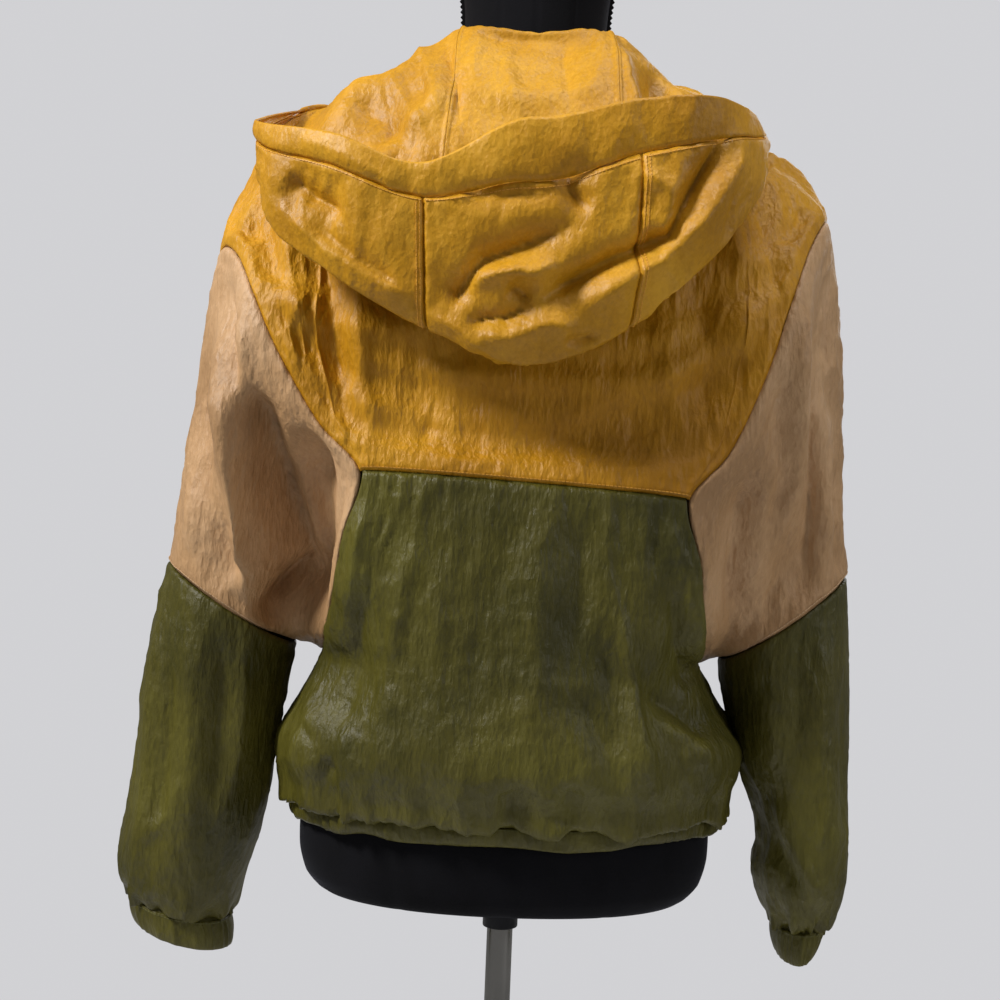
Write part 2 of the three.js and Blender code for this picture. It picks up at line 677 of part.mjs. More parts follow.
// The slider's face is a shield with cut corners; the bridge is an arch seen from the side.
function zipSlider() {
  const { halfWidth: w, halfHeight: h, front, thickness } = SLIDER;
  const shield = new THREE.Shape();
  shield.moveTo(-w * 0.6, -h);
  shield.lineTo(w * 0.6, -h);
  shield.lineTo(w * 0.75, 0);
  shield.lineTo(w, h * 0.6);
  shield.lineTo(w * 0.7, h);
  shield.lineTo(-w * 0.7, h);
  shield.lineTo(-w, h * 0.6);
  shield.lineTo(-w * 0.75, 0);
  shield.closePath();
  const body = plate(shield, thickness).rotateX(Math.PI / 2).translate(0, front + thickness, 0);

  const arch = new THREE.Shape();
  arch.moveTo(front + 0.5, -BRIDGE.halfHeight);
  arch.lineTo(front + 0.5, BRIDGE.halfHeight);
  arch.lineTo(-BRIDGE.reach + 1, BRIDGE.halfHeight);
  arch.lineTo(-BRIDGE.reach, BRIDGE.halfHeight - 1);
  arch.lineTo(-BRIDGE.reach, -BRIDGE.halfHeight + 1);
  arch.lineTo(-BRIDGE.reach + 1, -BRIDGE.halfHeight);
  arch.closePath();
  const opening = new THREE.Path();
  opening.moveTo(front, -BRIDGE.opening);
  opening.lineTo(-BRIDGE.clear, -BRIDGE.opening);
  opening.lineTo(-BRIDGE.clear, BRIDGE.opening);
  opening.lineTo(front, BRIDGE.opening);
  opening.closePath();
  arch.holes.push(opening);
  const bridge = plate(arch, 2 * BRIDGE.halfWidth);
  bridge.applyMatrix4(new THREE.Matrix4().makeBasis(point(0, 1, 0), point(0, 0, 1), point(1, 0, 0)));
  bridge.translate(-BRIDGE.halfWidth, 0, 0);
  return geometryOf(manifoldOf(body).add(manifoldOf(bridge)));
}

function pullTab() {
  const { length, halfWidth: w, thickness, bar, eyeHalfWidth, eyeEnd } = PULL_TAB;
  const outline = new THREE.Shape();
  outline.moveTo(-w + 0.8, bar);
  outline.lineTo(w - 0.8, bar);
  outline.lineTo(w, bar - 0.8);
  outline.lineTo(w * 0.8, -length + w * 0.8);
  outline.absarc(0, -length + w * 0.8, w * 0.8, 0, -Math.PI, true);
  outline.lineTo(-w, bar - 0.8);
  outline.closePath();
  const eye = new THREE.Path();
  eye.moveTo(-eyeHalfWidth, -bar);
  eye.lineTo(-eyeHalfWidth, -eyeEnd);
  eye.lineTo(eyeHalfWidth, -eyeEnd);
  eye.lineTo(eyeHalfWidth, -bar);
  eye.closePath();
  outline.holes.push(eye);
  return plate(outline, thickness).rotateX(Math.PI / 2).translate(0, thickness / 2, 0);
}

// ---------------------------------------------------------------- sleeves

const TURNS = steps(2 * ARMHOLE_STEPS, 0, 2).slice(0, -1);

function sleeveEntry(turn, along, side) {
  const place = upperSleeve(turn, along, side);
  const normal = along === 0 ? armholeNormal(turn, side) : sleeveNormal(turn, Math.min(along, 0.99), side);
  if (turn === 0) normal.setY(0).normalize();
  return { place, normal };
}

function sleeveMiddle(side) {
  const rows = steps(STEPS.midSleeveRows).map((k) => TURNS.map((turn) => {
    const from = capShare(turn, side);
    return sleeveEntry(turn, from + (1 - from) * k, side);
  }));
  pullBack(rows, 'bottom', SEAM_GAP);
  pullBack(rows, 'top');
  return wallGeometry(rows, CLOTH_WALL, true);
}

function lowerEntry(turn, along, side) {
  const place = lowerSleeve(turn, along, side);
  const surface = (a, b) => lowerSleeve(a, b, side);
  const normal = along === 0
    ? sleeveNormal(turn, 0.99, side)
    : normalOf(surface, turn, along, -side, [-9, 0], [9, 1]);
  return { place, normal };
}

function sleeveLower(side) {
  const rows = steps(STEPS.lowerSleeveRows).map((k) => TURNS.map((turn) => lowerEntry(turn, k, side)));
  pullBack(rows, 'bottom');
  pullBack(rows, 'top');
  return wallGeometry(rows, CLOTH_WALL, true);
}

function cuffRing(side, share) {
  const rings = ringsOf(side);
  const top = rings[rings.length - 1];
  const [outerX, outerZ, innerX, innerZ] = side > 0 ? CUFF_DROP.left : CUFF_DROP.right;
  const inset = 1.5;
  return [
    top[0] - inset + outerX * share,
    top[1] + outerZ * share,
    top[2] + inset + innerX * share,
    top[3] + innerZ * share,
    top[4] - inset - share,
    top[5],
  ];
}

function cuff(side) {
  const surface = (turn, share) => ringPoint(cuffRing(side, share), turn, side);
  const rows = [0.02, 0.5, 1].map((share) => TURNS.map((turn) => ({
    place: surface(turn, share),
    normal: normalOf(surface, turn, share, -side),
  })));
  return wallGeometry(rows, CASING_WALL, true);
}

// ---------------------------------------------------------------- hood

function hoodRows(columns, alongFrom, alongTo, count) {
  return steps(count, alongFrom, alongTo).map((along) => columns.map((across) => ({
    place: hoodSurface(across, along),
    normal: normalOf(hoodSurface, Math.min(Math.max(across, -0.99), 0.99), clamp01(along), 1, [-1, 0], [1, 1]),
  })));
}

const HOOD_CENTRE_COLUMNS = steps(6, -HOOD_PANEL_SHARE, HOOD_PANEL_SHARE);
const HOOD_LEFT_COLUMNS = steps(STEPS.hoodHalf - 2, HOOD_PANEL_SHARE, 1);
const HOOD_RIGHT_COLUMNS = steps(STEPS.hoodHalf - 2, -1, -HOOD_PANEL_SHARE);
const HOOD_COLUMNS = [...HOOD_RIGHT_COLUMNS, ...HOOD_CENTRE_COLUMNS.slice(1, -1), ...HOOD_LEFT_COLUMNS];

function hoodPanel(columns) {
  const rows = hoodRows(columns, 0.02, HOOD_CASING_SHARE, STEPS.hoodRows);
  pullBack(rows, 'top');
  pullBack(rows, 'start');
  pullBack(rows, 'end');
  return wallGeometry(rows, CLOTH_WALL, false);
}

function hoodCasing() {
  const rows = hoodRows(HOOD_COLUMNS, HOOD_CASING_SHARE, 1, 2);
  pullBack(rows, 'bottom', 3 * SEAM_GAP);
  return wallGeometry(rows, CASING_WALL, false);
}

// ---------------------------------------------------------------- dress form and stand

function dressForm() {
  const rows = FORM_ROWS.map(([z, half, behind, ahead, power]) => steps(FORM_COLUMNS).slice(0, -1).map((share) => {
    const angle = share * 2 * Math.PI;
    const c = Math.cos(angle);
    const s = Math.sin(angle);
    const deep = s >= 0 ? behind : ahead;
    return point(half * Math.sign(c) * Math.abs(c) ** (2 / power), deep * Math.sign(s) * Math.abs(s) ** (2 / power), z);
  }));
  const positions = rows.flat().flatMap((place) => [place.x, place.y, place.z]);
  const faces = [];
  for (let r = 0; r < rows.length - 1; r += 1) {
    for (let c = 0; c < FORM_COLUMNS; c += 1) {
      const a = r * FORM_COLUMNS + c;
      const b = r * FORM_COLUMNS + ((c + 1) % FORM_COLUMNS);
      faces.push(a, b, b + FORM_COLUMNS, a, b + FORM_COLUMNS, a + FORM_COLUMNS);
    }
  }
  const top = (rows.length - 1) * FORM_COLUMNS;
  for (let c = 1; c < FORM_COLUMNS - 1; c += 1) {
    faces.push(0, c + 1, c, top, top + c, top + c + 1);
  }
  return closedGeometry(positions, faces);
}

// A solid of revolution about the Z axis from [radius, z] pairs that start and end on it.
function turned(outline, sides) {
  const geometry = new THREE.LatheGeometry(outline.map(([r, z]) => new THREE.Vector2(r, z)), sides);
  return geometry.rotateX(Math.PI / 2);
}

function standBase() {
  return turned([
    [0, 0], [BASE_RADIUS - 2, 0], [BASE_RADIUS, 2], [BASE_RADIUS, BASE_THICKNESS - 3],
    [BASE_RADIUS - 3, BASE_THICKNESS], [0, BASE_THICKNESS],
  ], 40);
}

function standSocket() {
  const from = BASE_THICKNESS + SEAM_GAP;
  return turned([[0, from], [26, from], [26, from + 4], [17, from + 14], [17, from + 34], [0, from + 34]], 24);
}

function standPole() {
  const from = BASE_THICKNESS + 34 + 2 * SEAM_GAP;
  const to = FORM_BOTTOM_Z - 30 - SEAM_GAP;
  return turned([[0, from], [POLE_RADIUS, from], [POLE_RADIUS, to], [0, to]], 24);
}

function formFlange() {
  const to = FORM_BOTTOM_Z - SEAM_GAP;
  return turned([[0, to - 30], [15, to - 30], [15, to - 4], [34, to - 4], [34, to], [0, to]], 24);
}

// ---------------------------------------------------------------- assembly

const jacket = new THREE.Group();
const stand = new THREE.Group();
const group = new THREE.Group();
group.add(jacket, stand);

function add(parent, name, geometry, material) {
  const mesh = new THREE.Mesh(geometry, material);
  mesh.name = name;
  parent.add(mesh);
  return mesh;
}

add(jacket, 'back_yoke', backPanel(BODY_ROWS_TOP, true), MUSTARD);
add(jacket, 'back_lower', backPanel([...BODY_ROWS_LOW, ...BODY_ROWS_MID], false), OLIVE);
for (const [word, side] of [['left', 1], ['right', -1]]) {
  add(jacket, `front_upper_${word}`, frontPanel(BODY_ROWS_TOP, side, true), MUSTARD);
  add(jacket, `front_lower_${word}`, frontPanel([...BODY_ROWS_LOW, ...BODY_ROWS_MID], side, false), OLIVE);
  add(jacket, `sleeve_mid_${word}`, sleeveMiddle(side), TAN);
  add(jacket, `sleeve_lower_${word}`, sleeveLower(side), OLIVE);
  add(jacket, `cuff_${word}`, cuff(side), OLIVE);
}
add(jacket, 'hem_casing', hemCasing(), OLIVE);
add(jacket, 'zip_chain', zipChain(), ZIP_TAPE);
const { bar, lean } = sliderPlace();
const slider = add(jacket, 'zip_slider', zipSlider(), ZIP_METAL);
slider.position.copy(bar);
slider.rotation.x = lean;
add(jacket, 'zip_pull', pullTab(), ZIP_METAL).position.copy(bar);
add(jacket, 'hood_centre', hoodPanel(HOOD_CENTRE_COLUMNS), MUSTARD);
add(jacket, 'hood_left', hoodPanel(HOOD_LEFT_COLUMNS), MUSTARD);
add(jacket, 'hood_right', hoodPanel(HOOD_RIGHT_COLUMNS), MUSTARD);
add(jacket, 'hood_casing', hoodCasing(), MUSTARD);

add(stand, 'form_torso', dressForm(), VELVET);
add(stand, 'form_flange', formFlange(), STEEL);
add(stand, 'stand_pole', standPole(), STEEL);
add(stand, 'stand_socket', standSocket(), STEEL);
add(stand, 'stand_base', standBase(), STEEL);

export default group;
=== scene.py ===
"""Hooded windbreaker in mustard, tan and olive crinkled nylon on a limbless velvet dress form.

Every cloth piece is a fine grid laid on one of the garment's surfaces (body, upper sleeve, lower
sleeve, hood), then folded, gathered and crinkled by soft troughs and ridges, and given a thin wall.
The jacket's front faces -Y, its back +Y, and the wearer's left is +X.  Surfaces are worked out in
millimetres and laid in the frame in metres.
"""
import math

import bmesh
import bpy
import numpy as np
from mathutils import Matrix, Vector


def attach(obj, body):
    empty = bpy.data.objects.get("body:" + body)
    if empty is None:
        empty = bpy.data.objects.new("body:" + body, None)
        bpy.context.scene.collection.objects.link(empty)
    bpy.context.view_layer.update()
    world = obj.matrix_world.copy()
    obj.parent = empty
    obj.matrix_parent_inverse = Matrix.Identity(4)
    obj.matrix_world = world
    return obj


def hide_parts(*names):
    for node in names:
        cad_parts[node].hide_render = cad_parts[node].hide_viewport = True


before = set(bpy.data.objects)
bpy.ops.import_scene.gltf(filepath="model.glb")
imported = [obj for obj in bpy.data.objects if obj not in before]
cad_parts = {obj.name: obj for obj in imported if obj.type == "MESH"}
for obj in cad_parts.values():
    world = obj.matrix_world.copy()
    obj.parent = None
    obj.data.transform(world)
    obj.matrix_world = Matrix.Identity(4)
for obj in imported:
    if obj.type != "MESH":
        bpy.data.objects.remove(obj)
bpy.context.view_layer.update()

MM = 0.001

# ---------------------------------------------------------------- the garment's own sizes

HEM_BOTTOM_Z, HEM_TOP_Z = 560, 574
UNDERARM_ROW, YOKE_ROW, SHOULDER_ROW = 4, 8, 14
NECK_HALF_WIDTH, NECK_SIDE_Z = 68, 1178
NECK_BACK_Y, NECK_BACK_Z = 66, 1163
NECK_FRONT_Y, NECK_FRONT_Z = 72, 1106
SHOULDER_X, SHOULDER_Z = 186, 1137
NECK_SHARE = 3 / 7
BODY_ROUNDNESS = 2.4
YOKE_LIFT, YOKE_SHIFT = 6, 8
YOKE_SHARE = 8 / 14
CAP_DEPTH = {1: 0.56, -1: 0.41}
CAP_TIP, CAP_POWER = 0.008, 0.95
FRONT_EDGE_X = 3.9
LEFT_CLOSER = 12
HOOD_PANEL_SHARE, HOOD_CASING_SHARE, HOOD_SEAM_RISE = 0.2, 0.91, 1.3
CUFF_DROP = {1: (-6, -22, -3, -23), -1: (-13, -26, 4, -26)}

# Body rows, hem to shoulder: x, y, z of the panel's edge, then y and z of its middle.
BACK_ROWS = np.array([
    [181, 0, 574, 124, 574], [191, 0, 598, 142, 598], [195, 0, 630, 150, 628],
    [176, 0, 667, 147, 664], [160, 0, 696, 143, 694], [154, 58, 714, 141, 716],
    [149, 96, 745, 140, 748], [143, 119, 792, 138, 795], [131, 131, 842, 136, 845],
    [154, 127, 884, 134, 888], [167, 122, 940, 131, 942], [171, 116, 1003, 127, 1003],
    [177, 96, 1066, 120, 1064], [184, 56, 1116, 104, 1118],
    [SHOULDER_X, 0, SHOULDER_Z, NECK_BACK_Y, NECK_BACK_Z]], float)
FRONT_MIDDLE = np.array([
    [124, 574], [141, 598], [149, 628], [145, 664], [141, 694], [139, 716], [138, 748],
    [137, 795], [136, 845], [135, 888], [133, 938], [128, 985], [116, 1032], [96, 1074],
    [NECK_FRONT_Y, NECK_FRONT_Z]], float)

# How each line of cloth leaves the armhole and enters the tan and olive seam.
SLEEVE_LEAVE = np.array([
    [0.0, 100, 0, 13], [0.2, 84, 6, 0], [0.4, 52, 8, -14],
    [0.57, 34, -8, -22], [0.8, 22, -16, -12], [1.0, 7, 0, 1]], float)
SLEEVE_ENTER = np.array([
    [0.0, -24, 0, 186], [0.2, -14, 8, 178], [0.4, -12, 12, 150],
    [0.57, -16, 4, 88], [0.8, -14, 2, 24], [1.0, -7, 0, -1]], float)

# Sleeve rings down to the cuff: outer x and z, inner x and z, depth and middle in y.
SLEEVE_RINGS = {
    1: np.array([
        [296, 768, 184, 702, 62, 0], [307, 716, 190, 664, 61, 0], [314, 660, 196, 622, 60, 0],
        [318, 606, 201, 578, 60, -2], [324, 560, 208, 540, 60, -4], [331, 520, 219, 504, 59, -6],
        [329, 496, 226, 478, 56, -7], [322, 482, 232, 461, 50, -8]], float),
    -1: np.array([
        [284, 778, 178, 702, 62, 0], [288, 716, 186, 662, 61, 0], [290, 660, 196, 622, 60, 0],
        [291, 612, 211, 588, 61, -2], [294, 564, 221, 556, 62, -4], [295, 524, 217, 520, 60, -6],
        [291, 494, 224, 492, 54, -7], [282, 480, 234, 474, 47, -8]], float),
}

# Hood sections from the middle of the back to the front end: share, then five points after
# the neckline: fold, fall, bottom of the bag, its outer side, the opening.
HOOD_SHARES = np.array([0.0, 0.2, 0.4, 0.6, 0.8, 1.0])
HOOD_SECTIONS = {
    1: np.array([
        [[0, 86, 1209], [0, 146, 1112], [0, 170, 934], [0, 191, 996], [0, 199, 1108]],
        [[60, 68, 1211], [66, 140, 1114], [74, 165, 958], [78, 187, 1010], [80, 195, 1073]],
        [[86, 32, 1199], [118, 122, 1130], [142, 158, 996], [148, 177, 1036], [146, 184, 1094]],
        [[90, -16, 1190], [156, 72, 1158], [206, 116, 1058], [213, 127, 1078], [217, 112, 1120]],
        [[62, -62, 1160], [112, -36, 1174], [168, -10, 1160], [178, -14, 1165], [161, -37, 1169]],
        [[4, -80, 1122], [4, -85, 1132], [4, -89, 1140], [4, -92, 1147], [4, -95, 1154]]], float),
    -1: np.array([
        [[0, 86, 1209], [0, 146, 1112], [0, 170, 934], [0, 191, 996], [0, 199, 1108]],
        [[60, 68, 1212], [66, 140, 1120], [76, 165, 964], [80, 187, 1028], [78, 195, 1126]],
        [[86, 32, 1196], [116, 122, 1140], [138, 158, 1026], [146, 177, 1062], [138, 182, 1132]],
        [[90, -16, 1188], [148, 64, 1166], [180, 114, 1090], [186, 125, 1104], [176, 104, 1136]],
        [[62, -62, 1160], [108, -36, 1172], [156, -10, 1166], [166, -14, 1171], [150, -37, 1174]],
        [[4, -80, 1122], [4, -85, 1132], [4, -89, 1140], [4, -92, 1147], [4, -95, 1154]]], float),
}

# Dress form sections: height, half width, depth behind and in front, power.
FORM_ROWS = np.array([
    [495, 138, 84, 84, 2.2], [499, 156, 98, 98, 2.2], [512, 168, 108, 106, 2.2],
    [535, 174, 113, 110, 2.2], [575, 172, 114, 108, 2.2], [640, 158, 106, 100, 2.2],
    [710, 135, 92, 94, 2.2], [770, 125, 84, 92, 2.2], [840, 135, 88, 102, 2.2],
    [910, 147, 94, 116, 2.3], [970, 148, 98, 112, 2.4], [1030, 152, 98, 98, 2.5],
    [1080, 163, 84, 78, 2.5], [1104, 166, 66, 58, 2.4], [1116, 158, 54, 48, 2.3],
    [1127, 134, 46, 42, 2.2], [1138, 104, 42, 40, 2.1], [1150, 78, 42, 42, 2.0],
    [1166, 63, 46, 48, 2.0], [1190, 61, 48, 52, 2.0], [1240, 61, 49, 54, 2.0],
    [1290, 65, 50, 56, 2.0], [1299, 60, 46, 52, 2.0]], float)

CLOTH_STEP = 3.2                # distance between neighbouring points of a cloth grid
CLOTH_WALL = 0.0007
CASING_WALL = 0.0016
TURNING_WALL = 0.0011           # the saw-toothed seam turnings on the form's neck


# ---------------------------------------------------------------- small mathematics

def smooth_step(low, high, value):
    k = np.clip((value - low) / (high - low), 0, 1)
    return k * k * (3 - 2 * k)


def bell(value, centre, width):
    return np.exp(-((value - centre) / width) ** 2)


def catmull(a, b, c, d, k):
    linear = (c - a) * k
    square = (2 * a - 5 * b + 4 * c - d) * k * k
    cube = (3 * b - a - 3 * c + d) * k ** 3
    return 0.5 * (2 * b + linear + square + cube)


def along_list(rows, position):
    """A smooth curve through rows of numbers; position counts the rows."""
    last = len(rows) - 1
    at = np.clip(position, 0, last)
    i = np.minimum(np.floor(at).astype(int), last - 1)
    k = (at - i)[..., None]
    return catmull(rows[np.maximum(i - 1, 0)], rows[i], rows[i + 1], rows[np.minimum(i + 2, last)], k)


def along_keys(rows, key):
    """The same through rows whose first number is a rising key."""
    position = np.interp(key, rows[:, 0], np.arange(len(rows)))
    return along_list(rows[:, 1:], position)


def place(x, y, z):
    return np.stack(np.broadcast_arrays(x, y, z), axis=-1).astype(float)


def unit(vectors):
    return vectors / np.maximum(np.linalg.norm(vectors, axis=-1, keepdims=True), 1e-9)


# ---------------------------------------------------------------- the body's surface

def body_edge(row):
    edge = along_list(BACK_ROWS, row)[..., :3]
    y = np.where(row <= UNDERARM_ROW, 0, np.maximum(edge[..., 1], 0))
    return place(edge[..., 0], y, edge[..., 2])


def body_middle(row, facing):
    if facing > 0:
        return along_list(BACK_ROWS, row)[..., 3:5]
    return along_list(FRONT_MIDDLE, row)


def hang_askew(points, row):
    """The left end of the yoke seam is pulled up and in."""
    near = bell(row, YOKE_ROW, 2.2) * smooth_step(0, 1.5, row - UNDERARM_ROW)
    share = points[..., 0] / BACK_ROWS[YOKE_ROW][0]
    lift = YOKE_LIFT * share * near
    shift = YOKE_SHIFT * np.maximum(share, 0) * near
    return points + place(-shift, 0, lift)


def neck_and_shoulder(side, facing):
    low_y, low_z = (NECK_BACK_Y, NECK_BACK_Z) if facing > 0 else (NECK_FRONT_Y, NECK_FRONT_Z)
    angle = np.clip(side / NECK_SHARE, 0, 1) * math.pi / 2
    rise = np.maximum(np.cos(angle), 0) ** (1.0 if facing > 0 else 1.3)
    neck = place(NECK_HALF_WIDTH * np.sin(angle), low_y * np.cos(angle),
                 NECK_SIDE_Z - (NECK_SIDE_Z - low_z) * rise)
    k = np.clip((side - NECK_SHARE) / (1 - NECK_SHARE), 0, 1)
    shoulder = place(NECK_HALF_WIDTH + (SHOULDER_X - NECK_HALF_WIDTH) * k, 0,
                     NECK_SIDE_Z + (SHOULDER_Z - NECK_SIDE_Z) * k + 5 * np.sin(math.pi * k))
    return np.where((side <= NECK_SHARE)[..., None], neck, shoulder)


def plain_body(side, row, facing):
    edge = body_edge(row)
    middle = body_middle(row, facing)
    power = 2 / BODY_ROUNDNESS
    across = np.sin(side * math.pi / 2) ** power
    inward = np.maximum(np.cos(side * math.pi / 2), 0) ** power
    return place(edge[..., 0] * across,
                 edge[..., 1] + (middle[..., 0] - edge[..., 1]) * inward,
                 edge[..., 2] + (middle[..., 1] - edge[..., 2]) * inward)


def body_surface(u, row, facing):
    u, row = np.broadcast_arrays(u, row)
    side = np.clip(np.abs(u), 1e-6, 1)
    points = plain_body(side, row, facing)
    pull = smooth_step(SHOULDER_ROW - 3, SHOULDER_ROW, row)[..., None]
    top = neck_and_shoulder(side, facing) - plain_body(side, np.full_like(row, SHOULDER_ROW), facing)
    points = points + top * pull
    signed = points * place(np.where(u < 0, -1, 1), facing, 1)
    return hang_askew(signed, row)


# ---------------------------------------------------------------- the sleeves' surfaces

def fraction_of(turn):
    turn = np.mod(turn, 2)
    return np.where(turn <= 1, turn, 2 - turn), np.where(turn <= 1, 1, -1)


def row_of_fraction(fraction):
    upper = SHOULDER_ROW - (SHOULDER_ROW - YOKE_ROW) * (fraction / YOKE_SHARE)
    lower = YOKE_ROW - (YOKE_ROW - UNDERARM_ROW) * ((fraction - YOKE_SHARE) / (1 - YOKE_SHARE))
    return np.where(fraction <= YOKE_SHARE, upper, lower)


def turn_of_row(row, facing):
    upper = YOKE_SHARE * (SHOULDER_ROW - row) / (SHOULDER_ROW - YOKE_ROW)
    lower = YOKE_SHARE + (1 - YOKE_SHARE) * (YOKE_ROW - row) / (YOKE_ROW - UNDERARM_ROW)
    fraction = np.where(row >= YOKE_ROW, upper, lower)
    return fraction if facing > 0 else 2 - fraction


def ring_point(ring, turn, side):
    angle = turn * math.pi
    c, s = np.cos(angle), np.sin(angle)
    outer_x, outer_z, inner_x, inner_z, depth, middle_y = np.moveaxis(ring, -1, 0)
    return place(side * ((outer_x + inner_x) / 2 + (outer_x - inner_x) / 2 * c),
                 middle_y + depth * s,
                 (outer_z + inner_z) / 2 + (outer_z - inner_z) / 2 * c)


def lower_sleeve(turn, along, side):
    rings = SLEEVE_RINGS[side]
    return ring_point(along_list(rings, along * (len(rings) - 1)), turn, side)


def armhole_point(turn, side):
    fraction, facing = fraction_of(turn)
    row = row_of_fraction(fraction)
    edge = body_edge(row)
    return hang_askew(edge * place(side, facing, 1), row)


def sleeve_fold(fraction, along):
    beside = 15 * bell(fraction, 0.5, 0.1) * smooth_step(0.1, 0.4, along)
    swell = np.sin(math.pi * np.clip(along, 0, 1))
    outside = 7 * bell(fraction, 0.2, 0.06) * swell ** 2
    ridge = -5 * bell(fraction, 0.33, 0.07) * swell
    return (beside + outside + ridge) * (1 - smooth_step(0.85, 1, along))


def upper_sleeve(turn, along, side):
    turn, along = np.broadcast_arrays(turn, along)
    fraction, facing = fraction_of(turn)
    leave = along_keys(SLEEVE_LEAVE, fraction)
    enter = along_keys(SLEEVE_ENTER, fraction)
    start = armhole_point(turn, side)
    end = ring_point(SLEEVE_RINGS[side][0] + np.zeros(turn.shape + (6,)), turn, side)
    closer = LEFT_CLOSER * (1 - smooth_step(0, 0.5, fraction)) if side > 0 else 0
    out = start + place((leave[..., 0] - closer) * side, leave[..., 1] * facing, leave[..., 2])
    back = end + place((enter[..., 0] - closer) * side, enter[..., 1] * facing, enter[..., 2])
    t = along[..., None]
    s = 1 - t
    points = start * s ** 3 + out * 3 * s * s * t + back * 3 * s * t * t + end * t ** 3
    inward = unit(place(-0.3 * side, -facing, 0))
    return points + inward * sleeve_fold(fraction, along)[..., None]


def cap_share(turn, side):
    fraction, _ = fraction_of(turn)
    share = CAP_TIP + (CAP_DEPTH[side] - CAP_TIP) * (1 - np.minimum(fraction / YOKE_SHARE, 1) ** CAP_POWER)
    fade = smooth_step(YOKE_SHARE + 0.07, YOKE_SHARE, fraction)
    return np.where(fraction <= YOKE_SHARE, share, CAP_TIP * fade)


def cuff_surface(turn, share, side):
    top = SLEEVE_RINGS[side][-1]
    outer_x, outer_z, inner_x, inner_z = CUFF_DROP[side]
    share = np.asarray(share, float)
    inset = 1.5
    ring = np.stack(np.broadcast_arrays(
        top[0] - inset + outer_x * share, top[1] + outer_z * share,
        top[2] + inset + inner_x * share, top[3] + inner_z * share,
        top[4] - inset - share, top[5] + 0 * share), axis=-1)
    return ring_point(ring, turn, side)


# ---------------------------------------------------------------- the hood's surface

def hood_neckline(share):
    angle = share * math.pi
    c = np.cos(angle)
    low_y = np.where(c >= 0, NECK_BACK_Y, NECK_FRONT_Y)
    low_z = np.where(c >= 0, NECK_BACK_Z, NECK_FRONT_Z)
    fall = (NECK_SIDE_Z - low_z) * np.abs(c) ** np.where(c >= 0, 1, 1.3)
    x = (NECK_HALF_WIDTH - FRONT_EDGE_X) * np.sin(angle) + FRONT_EDGE_X * smooth_step(0, 0.3, share)
    return place(x, low_y * c, NECK_SIDE_Z - fall + HOOD_SEAM_RISE)


def hood_side(share, along, side):
    sections = HOOD_SECTIONS[side]
    mirrored = sections[1] * np.array([-1, 1, 1])
    lines = np.concatenate([mirrored[None], sections])
    position = np.interp(share, HOOD_SHARES, np.arange(len(HOOD_SHARES))) + 1
    controls = [hood_neckline(share)]
    controls += [along_list(lines[:, n], position) for n in range(sections.shape[1])]
    stack = np.stack(controls, axis=-2)
    last = stack.shape[-2] - 1
    at = np.clip(along, 0, 1) * last
    i = np.minimum(np.floor(at).astype(int), last - 1)

    def pick(index):
        return np.take_along_axis(stack, np.clip(index, 0, last)[..., None, None], axis=-2)[..., 0, :]

    points = catmull(pick(i - 1), pick(i), pick(i + 1), pick(i + 2), (at - i)[..., None])
    return points * np.array([side, 1, 1])


def hood_surface(across, along):
    across, along = np.broadcast_arrays(across, along)
    left = hood_side(np.abs(across), along, 1)
    right = hood_side(np.abs(across), along, -1)
    return np.where((across >= 0)[..., None], left, right)


# ---------------------------------------------------------------- soft random fields

def random_field(u, v, size_u, size_v, seed):
    """Smooth noise between -1 and 1 over two lengths, with patches of the given sizes."""
    generator = np.random.default_rng(seed)
    cells = 256
    table = generator.uniform(-1, 1, (cells, cells))
    a = np.asarray(u, float) / size_u
    b = np.asarray(v, float) / size_v
    i, j = np.floor(a).astype(int), np.floor(b).astype(int)
    s, t = a - i, b - j
    s, t = s * s * (3 - 2 * s), t * t * (3 - 2 * t)
    low = table[i % cells, j % cells] * (1 - s) + table[(i + 1) % cells, j % cells] * s
    high = table[i % cells, (j + 1) % cells] * (1 - s) + table[(i + 1) % cells, (j + 1) % cells] * s
    return low * (1 - t) + high * t


# ---------------------------------------------------------------- creases placed one by one

# Each is a line seen from behind, as x and z, with its half width and its height in mm
# (a trough is below zero).  The front carries the same folds, mirrored on the body.
BODY_CREASES = [
    ([(118, 826), (124, 780), (131, 718)], 9, 7),
    ([(122, 765), (126, 695), (140, 639)], 15, -10),
    ([(168, 650), (155, 622), (134, 600)], 9, -10),
    ([(159, 680), (164, 637), (149, 603)], 10, 7),
    ([(-100, 692), (-140, 668), (-160, 648)], 10, -11),
    ([(-50, 690), (-73, 648), (-91, 602)], 10, -8),
    ([(-78, 765), (-90, 704), (-100, 649), (-114, 612)], 6, 8),
    ([(-66, 730), (-80, 680), (-88, 630)], 7, -5),
    ([(2, 612), (-5, 572)], 8, -9),
    ([(-54, 612), (-38, 578)], 8, -9),
    ([(-112, 667), (-139, 649), (-159, 625)], 9, 8),
    ([(57, 800), (61, 691), (61, 600)], 14, 6),
    ([(22, 800), (30, 700), (26, 620)], 13, -5),
    ([(-18, 830), (-19, 724), (-19, 620)], 13, 5),
    ([(86, 800), (92, 720), (96, 640)], 11, 5),
    ([(-134, 800), (-143, 745), (-154, 699)], 8, 6),
    ([(-122, 770), (-132, 714), (-145, 684)], 8, -8),
    ([(-118, 816), (-130, 786)], 6, 4),
    ([(-46, 830), (-50, 760), (-44, 700)], 11, -5),
]
